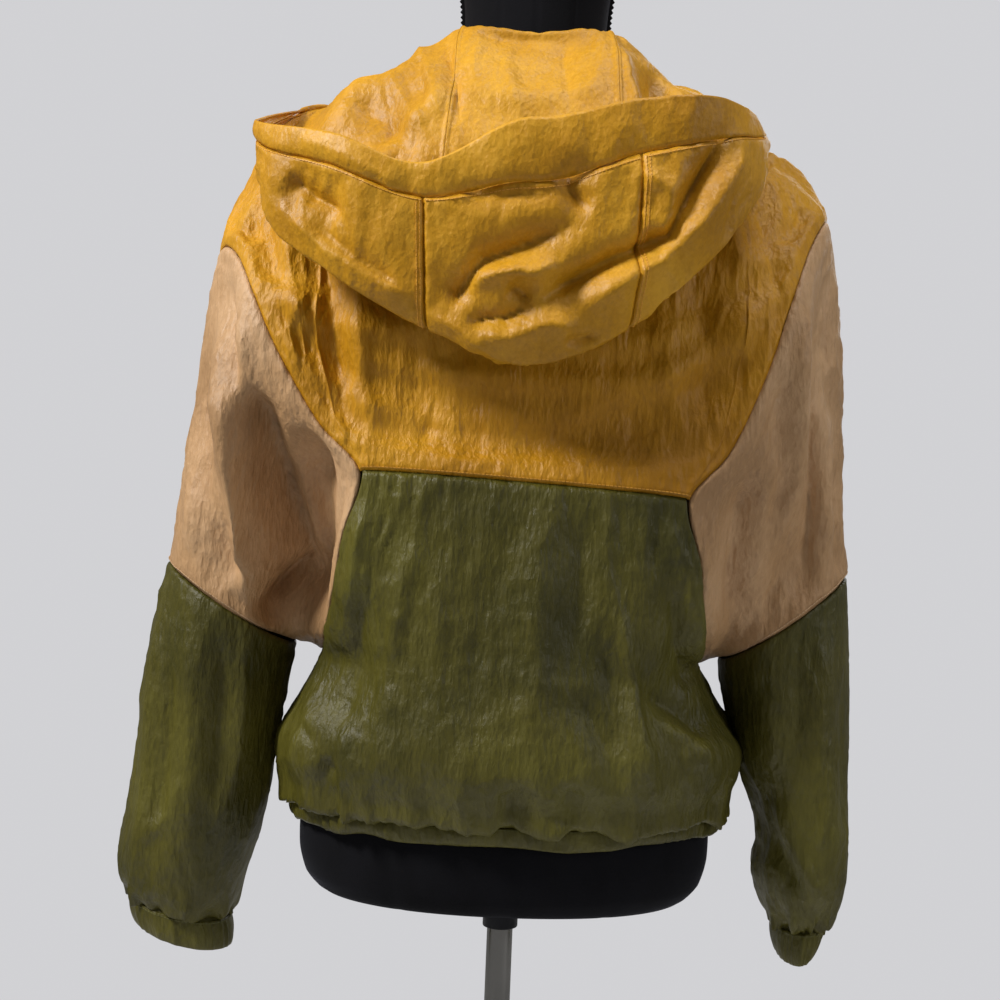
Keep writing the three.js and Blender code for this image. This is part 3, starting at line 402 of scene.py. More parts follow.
YOKE_CREASES = [
    ([(146, 1075), (136, 1010), (126, 930), (112, 858)], 10, 7),
    ([(176, 1062), (160, 1000), (146, 930), (136, 880)], 12, -9),
    ([(196, 1085), (190, 1020), (172, 950)], 9, 5),
    ([(92, 985), (82, 920), (70, 862)], 12, -3),
    ([(-44, 960), (-60, 900), (-70, 850)], 14, 2.5),
    ([(-100, 1000), (-116, 930), (-128, 870)], 12, 4),
    ([(-130, 1040), (-144, 960), (-144, 900)], 9, -5),
    ([(-160, 1090), (-170, 1010), (-168, 940)], 10, 5),
    ([(-186, 1100), (-196, 1030), (-200, 950)], 9, -4),
]
SLEEVE_CREASES = [
    ([(214, 915), (202, 870), (197, 800), (194, 690)], 10, -36),
    ([(168, 884), (174, 820), (180, 760), (186, 706)], 22, -42),
    ([(-178, 860), (-180, 800), (-180, 730)], 12, -15),
    ([(256, 1006), (248, 944), (239, 887), (228, 830), (216, 773), (205, 724)], 10, 8),
    ([(240, 1004), (230, 944), (224, 900)], 8, -10),
    ([(236, 1000), (222, 940), (218, 896)], 6, 7),
    ([(232, 930), (226, 868), (223, 800), (219, 724)], 14, 20),
    ([(262, 940), (258, 860), (250, 800)], 9, -6),
    ([(276, 880), (270, 820), (262, 770)], 9, 6),
    ([(246, 860), (238, 810), (228, 760)], 7, -5),
    ([(-235, 1014), (-240, 922), (-237, 840), (-236, 758)], 9, -12),
    ([(-216, 1014), (-220, 922), (-215, 840), (-210, 780)], 8, 8),
    ([(-252, 1004), (-257, 922), (-254, 840), (-252, 770)], 8, 8),
    ([(-200, 950), (-204, 880), (-202, 800)], 8, -6),
    ([(-186, 900), (-190, 820), (-192, 760)], 7, 6),
    ([(-266, 880), (-270, 820), (-270, 780)], 8, -5),
]
CUFF_CREASES = [
    ([(255, 740), (262, 660), (258, 590), (268, 520)], 11, 5),
    ([(236, 720), (236, 640), (240, 560)], 9, -5),
    ([(292, 730), (300, 640), (302, 560), (306, 510)], 11, 4),
    ([(276, 700), (282, 610), (284, 540)], 9, -4),
    ([(262, 600), (276, 560), (300, 538)], 7, 4),
    ([(218, 690), (222, 610), (240, 540)], 7, 4),
    ([(-221, 600), (-244, 545), (-270, 500)], 9, 7),
    ([(-208, 610), (-226, 555), (-248, 510)], 8, -7),
    ([(-232, 740), (-236, 660), (-238, 600)], 11, -4),
    ([(-212, 740), (-216, 660), (-220, 610)], 9, 4),
    ([(-258, 740), (-264, 660), (-266, 580), (-276, 520)], 11, 5),
    ([(-276, 700), (-280, 620), (-284, 560)], 7, -4),
]
HOOD_OUTER_CREASES = [
    ([(54, 1053), (21, 1053), (-20, 1056)], 6, -9),
    ([(-39, 1083), (-26, 1061), (-45, 1040)], 8, -13),
    ([(-69, 1078), (-99, 1061), (-102, 1043), (-89, 1027)], 11, 11),
    ([(-150, 1120), (-133, 1088), (-112, 1051), (-102, 1028), (-57, 1006), (-24, 986), (-8, 974)], 7, -19),
    ([(-160, 1111), (-149, 1081), (-125, 1044), (-97, 1013), (-61, 990), (-37, 971)], 13, 14),
    ([(45, 980), (34, 993), (12, 998), (-4, 997), (-24, 1005)], 7, 13),
    ([(57, 968), (51, 982), (35, 1003), (5, 1016), (-45, 1038)], 9, -15),
    ([(15, 987), (-2, 977)], 7, -10),
    ([(45, 953), (14, 950), (-15, 961), (-48, 957)], 9, 9),
    ([(-27, 948), (-54, 953)], 5, -7),
    ([(73, 965), (50, 956), (24, 935)], 6, 6),
    ([(47, 960), (18, 963), (-8, 974)], 5, -9),
    ([(184, 1068), (167, 1050), (137, 1033)], 9, -11),
    ([(193, 1049), (159, 1018), (114, 990), (77, 973)], 10, 9),
    ([(166, 1032), (129, 1004), (92, 984)], 7, -8),
    ([(176, 1096), (140, 1078), (96, 1052)], 8, 6),
]
HOOD_INNER_CREASES = [
    ([(92, 1200), (84, 1160), (70, 1120)], 8, 7),
    ([(74, 1196), (64, 1160), (56, 1110)], 6, -7),
    ([(120, 1170), (104, 1140), (84, 1110)], 9, 6),
    ([(150, 1150), (120, 1128), (96, 1100)], 7, -7),
    ([(24, 1206), (20, 1160), (8, 1110)], 9, 4),
    ([(-20, 1206), (-24, 1170), (-28, 1130)], 8, -4),
    ([(-66, 1198), (-74, 1160), (-84, 1120)], 7, 6),
    ([(-90, 1180), (-104, 1156), (-128, 1136)], 7, -8),
    ([(-110, 1168), (-130, 1150), (-160, 1136)], 7, 7),
]


FOLD_POWER = 1.45               # 2 is a round fold, 1 a pressed edge


def line_distance(x, z, line):
    """How far each point lies from a line of points, and how far along the line it is."""
    nearest = np.full(x.shape, 1e9)
    along = np.zeros(x.shape)
    count = len(line) - 1
    for n in range(count):
        ax, az = line[n]
        bx, bz = line[n + 1]
        length = (bx - ax) ** 2 + (bz - az) ** 2
        k = np.clip(((x - ax) * (bx - ax) + (z - az) * (bz - az)) / length, 0, 1)
        gap = np.hypot(x - ax - k * (bx - ax), z - az - k * (bz - az))
        closer = gap < nearest
        nearest = np.where(closer, gap, nearest)
        along = np.where(closer, (n + k) / count, along)
    return nearest, along


def crease_height(x, z, creases, power=FOLD_POWER):
    height = np.zeros(np.shape(x))
    for line, width, depth in creases:
        gap, along = line_distance(x, z, line)
        taper = smooth_step(-0.02, 0.25, along) * smooth_step(1.02, 0.75, along)
        height += depth * np.exp(-(gap / width) ** power) * (0.1 + 0.9 * taper)
    return height


# ---------------------------------------------------------------- grids of cloth

def grid_normals(points, closed, outward):
    """The normals of a grid of points, turned to the side that outward says."""
    if closed:
        across = np.roll(points, -1, axis=1) - np.roll(points, 1, axis=1)
    else:
        across = np.gradient(points, axis=1)
    down = np.gradient(points, axis=0)
    return unit(np.cross(across, down)) * outward


def soften(values, rounds, closed):
    """Neighbour averages over a grid, which keep its outer border where it is."""
    for _ in range(rounds):
        if closed:
            around = (np.roll(values, 1, axis=1) + np.roll(values, -1, axis=1)) / 2
        else:
            around = values.copy()
            around[:, 1:-1] = (values[:, :-2] + values[:, 2:]) / 2
        values = (values + around) / 2
        above = values.copy()
        above[1:-1] = (values[:-2] + values[2:]) / 2
        values = (values + above) / 2
    return values


def cloth_lengths(points, closed):
    """Lengths of cloth across and along the grid, in mm, measured in its middle."""
    middle_row = points[len(points) // 2]
    if closed:
        middle_row = np.concatenate([middle_row, middle_row[:1]])
    across = np.concatenate([[0], np.cumsum(np.linalg.norm(np.diff(middle_row, axis=0), axis=1))])
    middle_column = points[:, points.shape[1] // 2]
    along = np.concatenate([[0], np.cumsum(np.linalg.norm(np.diff(middle_column, axis=0), axis=1))])
    return np.meshgrid(across, along)


def new_object(name, mesh, material):
    """Makes a finished bmesh an object of the scene."""
    data = bpy.data.meshes.new(name)
    mesh.to_mesh(data)
    mesh.free()
    obj = bpy.data.objects.new(name, data)
    bpy.context.scene.collection.objects.link(obj)
    data.materials.append(material)
    return obj


def join_frame(obj, replaced=None):
    """Puts a piece on the garment's body, in place of the solid it stands for."""
    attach(obj, "garment")
    if replaced:
        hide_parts(replaced)


def make_grid(name, points, material, closed=False, outward=1):
    """A mesh on a grid of points, made by the grid operator and laid on the points."""
    rows, columns = points.shape[:2]
    u, v = cloth_lengths(points, closed)
    laid = np.concatenate([points, points[:, :1]], axis=1) if closed else points
    width = laid.shape[1]
    mesh = bmesh.new()
    bmesh.ops.create_grid(mesh, x_segments=width - 1, y_segments=rows - 1, size=0.5)
    mesh.verts.ensure_lookup_table()
    flat = laid.reshape(-1, 3) * MM
    for vert, where in zip(mesh.verts, flat):
        vert.co = where
    layer = mesh.loops.layers.uv.new("cloth")
    key = mesh.verts.layers.int.new("grid")
    for vert in mesh.verts:
        r, c = divmod(vert.index, width)
        vert[key] = r * columns + c % columns
    for face in mesh.faces:
        for loop in face.loops:
            r, c = divmod(loop.vert.index, width)
            loop[layer].uv = (u[r, c] * MM, v[r, c] * MM)
        face.smooth = True
    if closed:
        bmesh.ops.remove_doubles(mesh, verts=mesh.verts, dist=1e-6)
    if outward < 0:
        bmesh.ops.reverse_faces(mesh, faces=mesh.faces)
    return new_object(name, mesh, material)


def solidify(obj, wall):
    modifier = obj.modifiers.new("wall", "SOLIDIFY")
    modifier.thickness = wall
    modifier.offset = -1
    modifier.use_even_offset = False
    return obj


def facing_sign(points, normals):
    """Share of each point that faces back or front, which fades out at the outline."""
    return smooth_step(0.05, 0.55, np.abs(normals[..., 1])) * np.where(normals[..., 1] >= 0, 1, -1)


def fold_along(points, normals, height):
    return points + normals * height[..., None]


def border_distance(points, borders, closed):
    """Distance of each point from the named borders, measured along the grid."""
    rows, columns = points.shape[:2]
    gap = np.full((rows, columns), 1e9)
    if "bottom" in borders or "top" in borders:
        step = np.linalg.norm(np.diff(points, axis=0), axis=2)
        run = np.concatenate([np.zeros((1, columns)), np.cumsum(step, axis=0)])
        if "bottom" in borders:
            gap = np.minimum(gap, run)
        if "top" in borders:
            gap = np.minimum(gap, run[-1] - run)
    if not closed and ("start" in borders or "end" in borders):
        step = np.linalg.norm(np.diff(points, axis=1), axis=2)
        run = np.concatenate([np.zeros((rows, 1)), np.cumsum(step, axis=1)], axis=1)
        if "start" in borders:
            gap = np.minimum(gap, run)
        if "end" in borders:
            gap = np.minimum(gap, run[:, -1:] - run)
    return gap


def seam_relief(points, borders, closed, seed):
    """Cloth rolls in at a seam, is held flat beside it and puckers a little further away."""
    gap = border_distance(points, borders, closed)
    place_key = points[..., 0] * 0.6 + points[..., 2] * 0.8
    other_key = points[..., 0] * 0.8 - points[..., 2] * 0.6
    roll = -2.3 * np.exp(-(gap / 1.7) ** 2)
    pucker = random_field(place_key, other_key, 5.5, 5.5, seed)
    return roll + 0.9 * pucker * bell(gap, 6.5, 5.5)


def ridged(field):
    """Turns soft noise into flat ground with narrow ridges."""
    return 1 - 2 * np.sqrt(np.abs(field) + 0.0004)


def flat_crinkle(u, v, seed):
    """Long shallow ripples and sharp little creases over two lengths."""
    bend = 16 * random_field(u, v, 60, 110, seed + 1)
    tilt = 7 * random_field(u, v, 18, 30, seed + 7)
    coarse = random_field(u + bend, v, 24, 190, seed + 2) * 2.2
    middle = ridged(random_field(u + bend + tilt, v, 16, 120, seed + 3)) * 1.7
    fine = ridged(random_field(u + bend * 0.6 + tilt, v, 9, 42, seed + 4)) * 1.2
    cross = ridged(random_field(u - tilt, v + bend, 32, 18, seed + 5)) * 0.55
    small = random_field(u + tilt, v, 6.5, 11, seed + 8) * 0.42
    patch = 0.8 + 0.5 * random_field(u, v, 80, 120, seed + 6)
    return (coarse + middle + fine + cross + small) * patch


def crinkle(points, normals, seed, strength=1.0):
    """The permanent crinkle of the nylon, which runs down the garment on every side."""
    x, y, z = np.moveaxis(points, -1, 0)
    turned = normals[..., 0] ** 2 / (normals[..., 0] ** 2 + normals[..., 1] ** 2 + 1e-3)
    sideways = smooth_step(0.3, 0.7, turned)
    facing = flat_crinkle(x + 1000 * (normals[..., 1] < 0), z, seed)
    beside = flat_crinkle(y + 3000 + 1000 * (normals[..., 0] < 0), z, seed)
    return (facing * (1 - sideways) + beside * sideways) * strength


# ---------------------------------------------------------------- cloth that settles

def resample(values, rows, columns, closed):
    """The same grid with another number of rows and columns, linearly interpolated."""
    height, width = values.shape[:2]
    wide = np.concatenate([values, values[:, :1]], axis=1) if closed else values
    r = np.linspace(0, height - 1, rows)
    c = np.linspace(0, wide.shape[1] - 1, columns + 1 if closed else columns)
    if closed:
        c = c[:-1]
    i, j = np.minimum(r.astype(int), height - 2), np.minimum(c.astype(int), wide.shape[1] - 2)
    s, t = (r - i)[:, None, None], (c - j)[None, :, None]
    top = wide[i][:, j] * (1 - t) + wide[i][:, j + 1] * t
    low = wide[i + 1][:, j] * (1 - t) + wide[i + 1][:, j + 1] * t
    return top * (1 - s) + low * s


SETTLE_SHARE = 0.5              # the simulated grid has this share of the rows and columns
SETTLE_FRAMES = 14
SETTLE_CAP = 13                 # furthest that a point may move, in mm
PIN_EASE = 26                   # distance from a seam at which the cloth hangs free
CUT_WIDER = 0.045               # share by which a panel is cut wider than it hangs
CUT_LONGER = 0.12               # part of that share which is added to its length
ALL_BORDERS = ("bottom", "top", "start", "end")


def settle(points, closed):
    """Lets a panel that is cut a little too wide sag and buckle between its seams.

    Returns how far each point moves, in mm."""
    rows, columns = points.shape[:2]
    few_rows, few_columns = int(rows * SETTLE_SHARE), int(columns * SETTLE_SHARE)
    coarse = resample(points, few_rows, few_columns, closed)
    gap = border_distance(coarse, ALL_BORDERS, closed)
    obj = make_grid("settling", coarse, MUSTARD, closed, 1)
    count = len(obj.data.vertices)
    places, key = np.empty(count * 3, np.float32), np.empty(count, np.int32)
    obj.data.vertices.foreach_get("co", places)
    obj.data.attributes["grid"].data.foreach_get("value", key)
    places = places.reshape(-1, 3).astype(float) / MM
    weight = ((1 - smooth_step(2, PIN_EASE, gap)) ** 2).reshape(-1)[key]
    group = obj.vertex_groups.new(name="pins")
    for n, value in enumerate(weight):
        if value > 0.001:
            group.add([n], float(value), "REPLACE")
    obj.shape_key_add(name="Basis")
    cut = obj.shape_key_add(name="cut")
    centre = places.mean(axis=0)
    growth = 1 + CUT_WIDER * np.array([1, 1, CUT_LONGER])
    wide = (places - centre) * growth + centre
    cut.data.foreach_set("co", (wide * MM).astype(np.float32).reshape(-1))
    cut.value = 0
    cloth = obj.modifiers.new("cloth", "CLOTH")
    settings = cloth.settings
    settings.quality = 4
    settings.mass = 0.06
    settings.tension_stiffness = 30
    settings.compression_stiffness = 30
    settings.shear_stiffness = 6
    settings.bending_stiffness = 0.25
    settings.air_damping = 3
    settings.vertex_group_mass = "pins"
    settings.pin_stiffness = 3
    settings.rest_shape_key = cut
    cloth.collision_settings.use_collision = False
    cloth.collision_settings.use_self_collision = False
    scene = bpy.context.scene
    cloth.point_cache.frame_start = 1
    cloth.point_cache.frame_end = SETTLE_FRAMES
    for frame_number in range(1, SETTLE_FRAMES + 1):
        scene.frame_set(frame_number)
    ready = obj.evaluated_get(bpy.context.evaluated_depsgraph_get())
    flat = np.empty(count * 3, np.float32)
    ready.data.vertices.foreach_get("co", flat)
    moved = np.zeros((few_rows * few_columns, 3))
    moved[key] = flat.reshape(-1, 3) / MM - places
    moved = moved.reshape(few_rows, few_columns, 3)
    scene.frame_set(1)
    data = obj.data
    bpy.data.objects.remove(obj)
    bpy.data.meshes.remove(data)
    reach = np.linalg.norm(moved, axis=2, keepdims=True)
    moved = moved * np.minimum(1, SETTLE_CAP / np.maximum(reach, 1e-6))
    return soften(resample(moved, rows, columns, closed), 2, closed)


# ---------------------------------------------------------------- cloth panels as points

def analytic_normals(surface, a, b, step_a, step_b, low, high, outward):
    """Normals of a surface function at parameters a and b, kept inside its limits."""
    a0, a1 = np.clip(a - step_a, low[0], high[0]), np.clip(a + step_a, low[0], high[0])
    b0, b1 = np.clip(b - step_b, low[1], high[1]), np.clip(b + step_b, low[1], high[1])
    across = surface(a1, b) - surface(a0, b)
    down = surface(a, b1) - surface(a, b0)
    return unit(np.cross(across, down)) * outward


def steps_for(length):
    return max(int(math.ceil(length / CLOTH_STEP)), 2)


def body_points(row_from, row_to, facing, side, caps):
    """Points, normals and cap share of a body panel; side 0 is the whole back, else one front."""
    height = 300 if row_from >= YOKE_ROW else 270
    row_list = np.linspace(row_from, row_to, steps_for(height) + 1)
    if side == 0:
        u_list = np.linspace(-1, 1, steps_for(400) + 1)
    else:
        u_list = np.linspace(0, 1, steps_for(210) + 1) * side
    u, row = np.meshgrid(u_list, row_list)
    points = body_surface(u, row, facing)
    inside = np.clip(np.where(np.abs(u) < 0.01, np.where(u < 0, -0.01, 0.01), u), -0.985, 0.985)
    normals = analytic_normals(lambda a, b: body_surface(a, b, facing), inside,
                               np.minimum(row, SHOULDER_ROW - 0.02), 0.006, 0.02,
                               (-1, 0), (1, SHOULDER_ROW), -facing)
    if side != 0:
        points[..., 0] += side * FRONT_EDGE_X * np.maximum(1 - np.abs(u) / 0.5, 0)
    if caps:
        share_list = np.linspace(0, 1, steps_for(210) + 1)[1:]
        for end in ((-1, 1) if side == 0 else (side,)):
            turn = turn_of_row(row_list, facing)[:, None] + 0 * share_list[None, :]
            along = share_list[None, :] * cap_share(turn, end)
            cap = upper_sleeve(turn, along, end)
            cap_normals = sleeve_normals(turn, np.maximum(along, 0.01), end)
            if end < 0 and side == 0:
                points = np.concatenate([cap[:, ::-1], points], axis=1)
                normals = np.concatenate([cap_normals[:, ::-1], normals], axis=1)
            else:
                points = np.concatenate([points, cap], axis=1)
                normals = np.concatenate([normals, cap_normals], axis=1)
    return points, unit(soften(normals, 10, False))


def sleeve_normals(turn, along, side):
    return analytic_normals(lambda a, b: upper_sleeve(a, b, side), turn, along, 0.012, 0.012,
                            (-9, 0), (9, 1), -side)


def middle_sleeve_points(side):
    turn_list = np.linspace(0, 2, steps_for(420) + 1)[:-1]
    k_list = np.linspace(0, 1, steps_for(300) + 1)
    turn, k = np.meshgrid(turn_list, k_list)
    start = cap_share(turn, side)
    along = start + (1 - start) * k
    points = upper_sleeve(turn, along, side)
    return points, unit(soften(sleeve_normals(turn, np.clip(along, 0.01, 0.99), side), 2, True))


def lower_sleeve_points(side):
    turn_list = np.linspace(0, 2, steps_for(360) + 1)[:-1]
    turn, along = np.meshgrid(turn_list, np.linspace(0, 1, steps_for(290) + 1))
    points = lower_sleeve(turn, along, side)
    normals = analytic_normals(lambda a, b: lower_sleeve(a, b, side), turn, along, 0.012, 0.01,
                               (-9, 0), (9, 1), -side)
    return points, normals, turn, along


def hood_points(across_from, across_to, along_from, along_to, width, height):
    across_list = np.linspace(across_from, across_to, steps_for(width) + 1)
    across, along = np.meshgrid(across_list, np.linspace(along_from, along_to, steps_for(height) + 1))
    points = hood_surface(across, along)
    normals = analytic_normals(hood_surface, np.clip(across, -0.99, 0.99), np.clip(along, 0.01, 0.995),
                               0.01, 0.006, (-1, 0), (1, 1), 1)
    return points, unit(soften(normals, 4, False)), across, along


# ---------------------------------------------------------------- finishes

def node(tree, kind, **values):
    made = tree.nodes.new(kind)
    for key, value in values.items():
        if hasattr(made, key):
            setattr(made, key, value)
        else:
            made.inputs[key].default_value = value
    return made


def new_material(name):
    material = bpy.data.materials.new(name)
    material.use_nodes = True
    tree = material.node_tree
    shader = tree.nodes["Principled BSDF"]
    return material, tree, shader


def scaled_noise(tree, source, scale, size, detail, roughness=0.5):
    """Noise read from a vector that is stretched by scale; size counts patches per metre."""
    mapping = node(tree, "ShaderNodeMapping")
    mapping.inputs["Scale"].default_value = scale
    tree.links.new(source, mapping.inputs["Vector"])
    noise = node(tree, "ShaderNodeTexNoise")
    noise.inputs["Scale"].default_value = size
    noise.inputs["Detail"].default_value = detail
    noise.inputs["Roughness"].default_value = roughness
    tree.links.new(mapping.outputs["Vector"], noise.inputs["Vector"])
    return noise.outputs["Fac"]


def ramp(tree, factor, stops):
    made = node(tree, "ShaderNodeValToRGB")
    while len(made.color_ramp.elements) < len(stops):
        made.color_ramp.elements.new(0.5)
    for element, (position, colour) in zip(made.color_ramp.elements, stops):
        element.position = position
        element.color = (*colour, 1)
    tree.links.new(factor, made.inputs["Fac"])
    return made.outputs["Color"]


def crumple(tree, source, scale, size):
    """Small flat facets with pressed edges, as in crumpled taffeta."""
    mapping = node(tree, "ShaderNodeMapping")
    mapping.inputs["Scale"].default_value = scale
    tree.links.new(source, mapping.inputs["Vector"])
    bend = node(tree, "ShaderNodeTexNoise")
    bend.inputs["Scale"].default_value = size * 0.6
    bend.inputs["Detail"].default_value = 2
    tree.links.new(mapping.outputs["Vector"], bend.inputs["Vector"])
    sway = node(tree, "ShaderNodeVectorMath", operation="MULTIPLY_ADD")
    tree.links.new(bend.outputs["Color"], sway.inputs[0])
    sway.inputs[1].default_value = (1.6 / size,) * 3
    tree.links.new(mapping.outputs["Vector"], sway.inputs[2])
    cells = node(tree, "ShaderNodeTexVoronoi")
    cells.inputs["Scale"].default_value = size
    tree.links.new(sway.outputs["Vector"], cells.inputs["Vector"])
    return cells.outputs["Distance"]


def sum_of(tree, terms):
    """Adds outputs, each times its weight."""
    total = None
    for output, weight in terms:
        made = node(tree, "ShaderNodeMath", operation="MULTIPLY_ADD")
        tree.links.new(output, made.inputs[0])
        made.inputs[1].default_value = weight
        if total is None:
            made.inputs[2].default_value = 0
        else:
            tree.links.new(total, made.inputs[2])
        total = made.outputs[0]
    return total


SHEEN = 0.02
LIGHT_THROUGH = 0.06            # share of light that passes through the cloth


def nylon(name, dark, middle, light, rough=0.46, run=0.24, relief=0.0024):
    """Crinkled nylon taffeta: colour, fine crinkle and a semi-gloss face; run stretches the crinkle."""
    material, tree, shader = new_material(name)
    cloth = node(tree, "ShaderNodeTexCoord").outputs["Object"]
    patches = scaled_noise(tree, cloth, (1, 1, 0.7), 12, 3)
    streaks = scaled_noise(tree, cloth, (1, 1, run), 130, 4, 0.6)
    crinkles = scaled_noise(tree, cloth, (1, 1, run * 1.4), 330, 5, 0.62)
    cross = scaled_noise(tree, cloth, (0.6, 0.6, 1), 240, 3, 0.55)
    colour_key = sum_of(tree, [(patches, 0.6), (streaks, 0.12), (crinkles, 0.28)])
    colour = ramp(tree, colour_key, [(0.38, dark), (0.5, middle), (0.64, light)])
    tree.links.new(colour, shader.inputs["Base Color"])
    gloss = node(tree, "ShaderNodeMapRange")
    gloss.inputs["From Min"].default_value = 0.3
    gloss.inputs["From Max"].default_value = 0.7
    gloss.inputs["To Min"].default_value = rough - 0.06
    gloss.inputs["To Max"].default_value = rough + 0.1
    tree.links.new(streaks, gloss.inputs["Value"])
    tree.links.new(gloss.outputs["Result"], shader.inputs["Roughness"])
    shader.inputs["Specular IOR Level"].default_value = 0.36
    shader.inputs["Sheen Weight"].default_value = SHEEN
    shader.inputs["Sheen Roughness"].default_value = 0.4
    shader.inputs["Sheen Tint"].default_value = (*light, 1)
    creased = crumple(tree, cloth, (1, 1, run), 95)
    knocked = crumple(tree, cloth, (0.75, 0.75, 1.0), 52)
    small = crumple(tree, cloth, (1, 1, run * 1.5), 230)
    weave = sum_of(tree, [(creased, 0.62), (knocked, 0.42), (small, 0.42), (streaks, 0.42), (crinkles, 0.5),
                          (cross, 0.15)])
    bump = node(tree, "ShaderNodeBump")
    bump.inputs["Strength"].default_value = 0.8
    bump.inputs["Distance"].default_value = relief
    tree.links.new(weave, bump.inputs["Height"])
    tree.links.new(bump.outputs["Normal"], shader.inputs["Normal"])
    through = node(tree, "ShaderNodeBsdfTranslucent")
    tree.links.new(colour, through.inputs["Color"])
    tree.links.new(bump.outputs["Normal"], through.inputs["Normal"])
    mix = node(tree, "ShaderNodeMixShader")
    mix.inputs[0].default_value = LIGHT_THROUGH
    tree.links.new(shader.outputs[0], mix.inputs[1])
    tree.links.new(through.outputs[0], mix.inputs[2])
    tree.links.new(mix.outputs[0], tree.nodes["Material Output"].inputs["Surface"])
    return material


def linear(red, green, blue):
    """A display colour from 0 to 255 as scene-linear numbers."""
    shares = (red / 255, green / 255, blue / 255)
    return tuple(((c + 0.055) / 1.055) ** 2.4 if c > 10 / 255 else c / 12.92 for c in shares)


MUSTARD = nylon("mustard nylon", linear(164, 112, 8), linear(186, 130, 14), linear(206, 149, 28))
MUSTARD_HOOD = nylon("mustard hood nylon", linear(172, 120, 12), linear(194, 139, 20),
                     linear(214, 159, 38), run=0.5, relief=0.0013)
TAN = nylon("tan nylon", linear(166, 129, 90), linear(187, 148, 106), linear(204, 166, 125))
OLIVE = nylon("olive nylon", linear(62, 59, 14), linear(78, 73, 20), linear(94, 89, 30), rough=0.44)


def velvet_material():
    material, tree, shader = new_material("black velvet")
    place_key = node(tree, "ShaderNodeTexCoord").outputs["Object"]
    brushed = scaled_noise(tree, place_key, (1, 1, 0.5), 22, 4)
    pile = scaled_noise(tree, place_key, (1, 1, 1), 900, 2)
    colour = ramp(tree, brushed, [(0.35, linear(9, 9, 12)), (0.6, linear(14, 14, 18))])
    tree.links.new(colour, shader.inputs["Base Color"])
    shader.inputs["Roughness"].default_value = 0.95
    shader.inputs["Specular IOR Level"].default_value = 0.15
    shader.inputs["Sheen Weight"].default_value = 0.35
    shader.inputs["Sheen Roughness"].default_value = 0.35
    shader.inputs["Sheen Tint"].default_value = (*linear(90, 92, 104), 1)
    bump = node(tree, "ShaderNodeBump")
    bump.inputs["Strength"].default_value = 0.4
    bump.inputs["Distance"].default_value = 0.0006
    tree.links.new(pile, bump.inputs["Height"])
    tree.links.new(bump.outputs["Normal"], shader.inputs["Normal"])
    return material


def metal_material(name, colour, rough, grain_scale):
    material, tree, shader = new_material(name)
    place_key = node(tree, "ShaderNodeTexCoord").outputs["Object"]
    grain = scaled_noise(tree, place_key, grain_scale, 400, 4)
    spots = scaled_noise(tree, place_key, (1, 1, 1), 30, 3)
    shade = ramp(tree, spots, [(0.3, tuple(0.85 * c for c in colour)), (0.7, colour)])
    tree.links.new(shade, shader.inputs["Base Color"])
    shader.inputs["Metallic"].default_value = 1
    roughness = node(tree, "ShaderNodeMapRange")
    roughness.inputs["To Min"].default_value = rough * 0.8
    roughness.inputs["To Max"].default_value = rough * 1.3
    tree.links.new(grain, roughness.inputs["Value"])
    tree.links.new(roughness.outputs["Result"], shader.inputs["Roughness"])
    bump = node(tree, "ShaderNodeBump")
    bump.inputs["Strength"].default_value = 0.12
    bump.inputs["Distance"].default_value = 0.0002
    tree.links.new(grain, bump.inputs["Height"])
    tree.links.new(bump.outputs["Normal"], shader.inputs["Normal"])
    return material


def thread_material(name, colour):
    material, tree, shader = new_material(name)
    place_key = node(tree, "ShaderNodeTexCoord").outputs["Object"]
    twist = scaled_noise(tree, place_key, (1, 1, 1), 1500, 2)
    dark = tuple(0.75 * c for c in colour)
    tree.links.new(ramp(tree, twist, [(0.3, dark), (0.7, colour)]), shader.inputs["Base Color"])
    shader.inputs["Roughness"].default_value = 0.6
    return material


VELVET = velvet_material()
BLACK_PAINT = metal_material("black paint", (0.02, 0.02, 0.022), 0.5, (1, 1, 1))
STEEL = metal_material("brushed steel", (0.42, 0.41, 0.39), 0.24, (1, 1, 0.02))
ZIP_METAL = metal_material("zip metal", (0.5, 0.47, 0.4), 0.28, (1, 1, 1))
ZIP_TAPE = thread_material("zip tape", linear(78, 74, 34))
MUSTARD_THREAD = thread_material("mustard thread", linear(232, 170, 60))
OLIVE_THREAD = thread_material("olive thread", linear(110, 108, 56))
TAN_THREAD = thread_material("tan thread", linear(214, 180, 140))


# ---------------------------------------------------------------- camera, light and floor

CAMERA_AT = (0.0146, 1.25, 0.830)
CAMERA_LENS = 52.33
CAMERA_ROLL = math.radians(2.3)
FLOOR_HALF = 1.05
WORLD_LIGHT = 0.19              # strength of the sky that lights the cloth
WORLD_SEEN = 0.66               # strength of the same sky as a backdrop


def make_camera():
    """Looks from behind the jacket along -Y, rolled a little."""
    data = bpy.data.cameras.new("camera")
    data.lens = CAMERA_LENS
    data.sensor_width = 36
    camera = bpy.data.objects.new("camera", data)
    bpy.context.scene.collection.objects.link(camera)
    c, s = math.cos(CAMERA_ROLL), math.sin(CAMERA_ROLL)
    right, up = Vector((-c, 0, s)), Vector((s, 0, c))
    turned = Matrix((right, up, right.cross(up))).transposed().to_4x4()
    camera.matrix_world = Matrix.Translation(CAMERA_AT) @ turned
    bpy.context.scene.camera = camera


def area_light(name, where, towards, size, power, colour=(1, 1, 1)):
    data = bpy.data.lights.new(name, "AREA")
    data.shape = "RECTANGLE"
    data.size, data.size_y = size
    data.energy = power
    data.color = colour
    light = bpy.data.objects.new(name, data)
    bpy.context.scene.collection.objects.link(light)
    light.location = where
    light.rotation_mode = "QUATERNION"
    light.rotation_quaternion = (Vector(towards) - Vector(where)).to_track_quat("-Z", "Y")


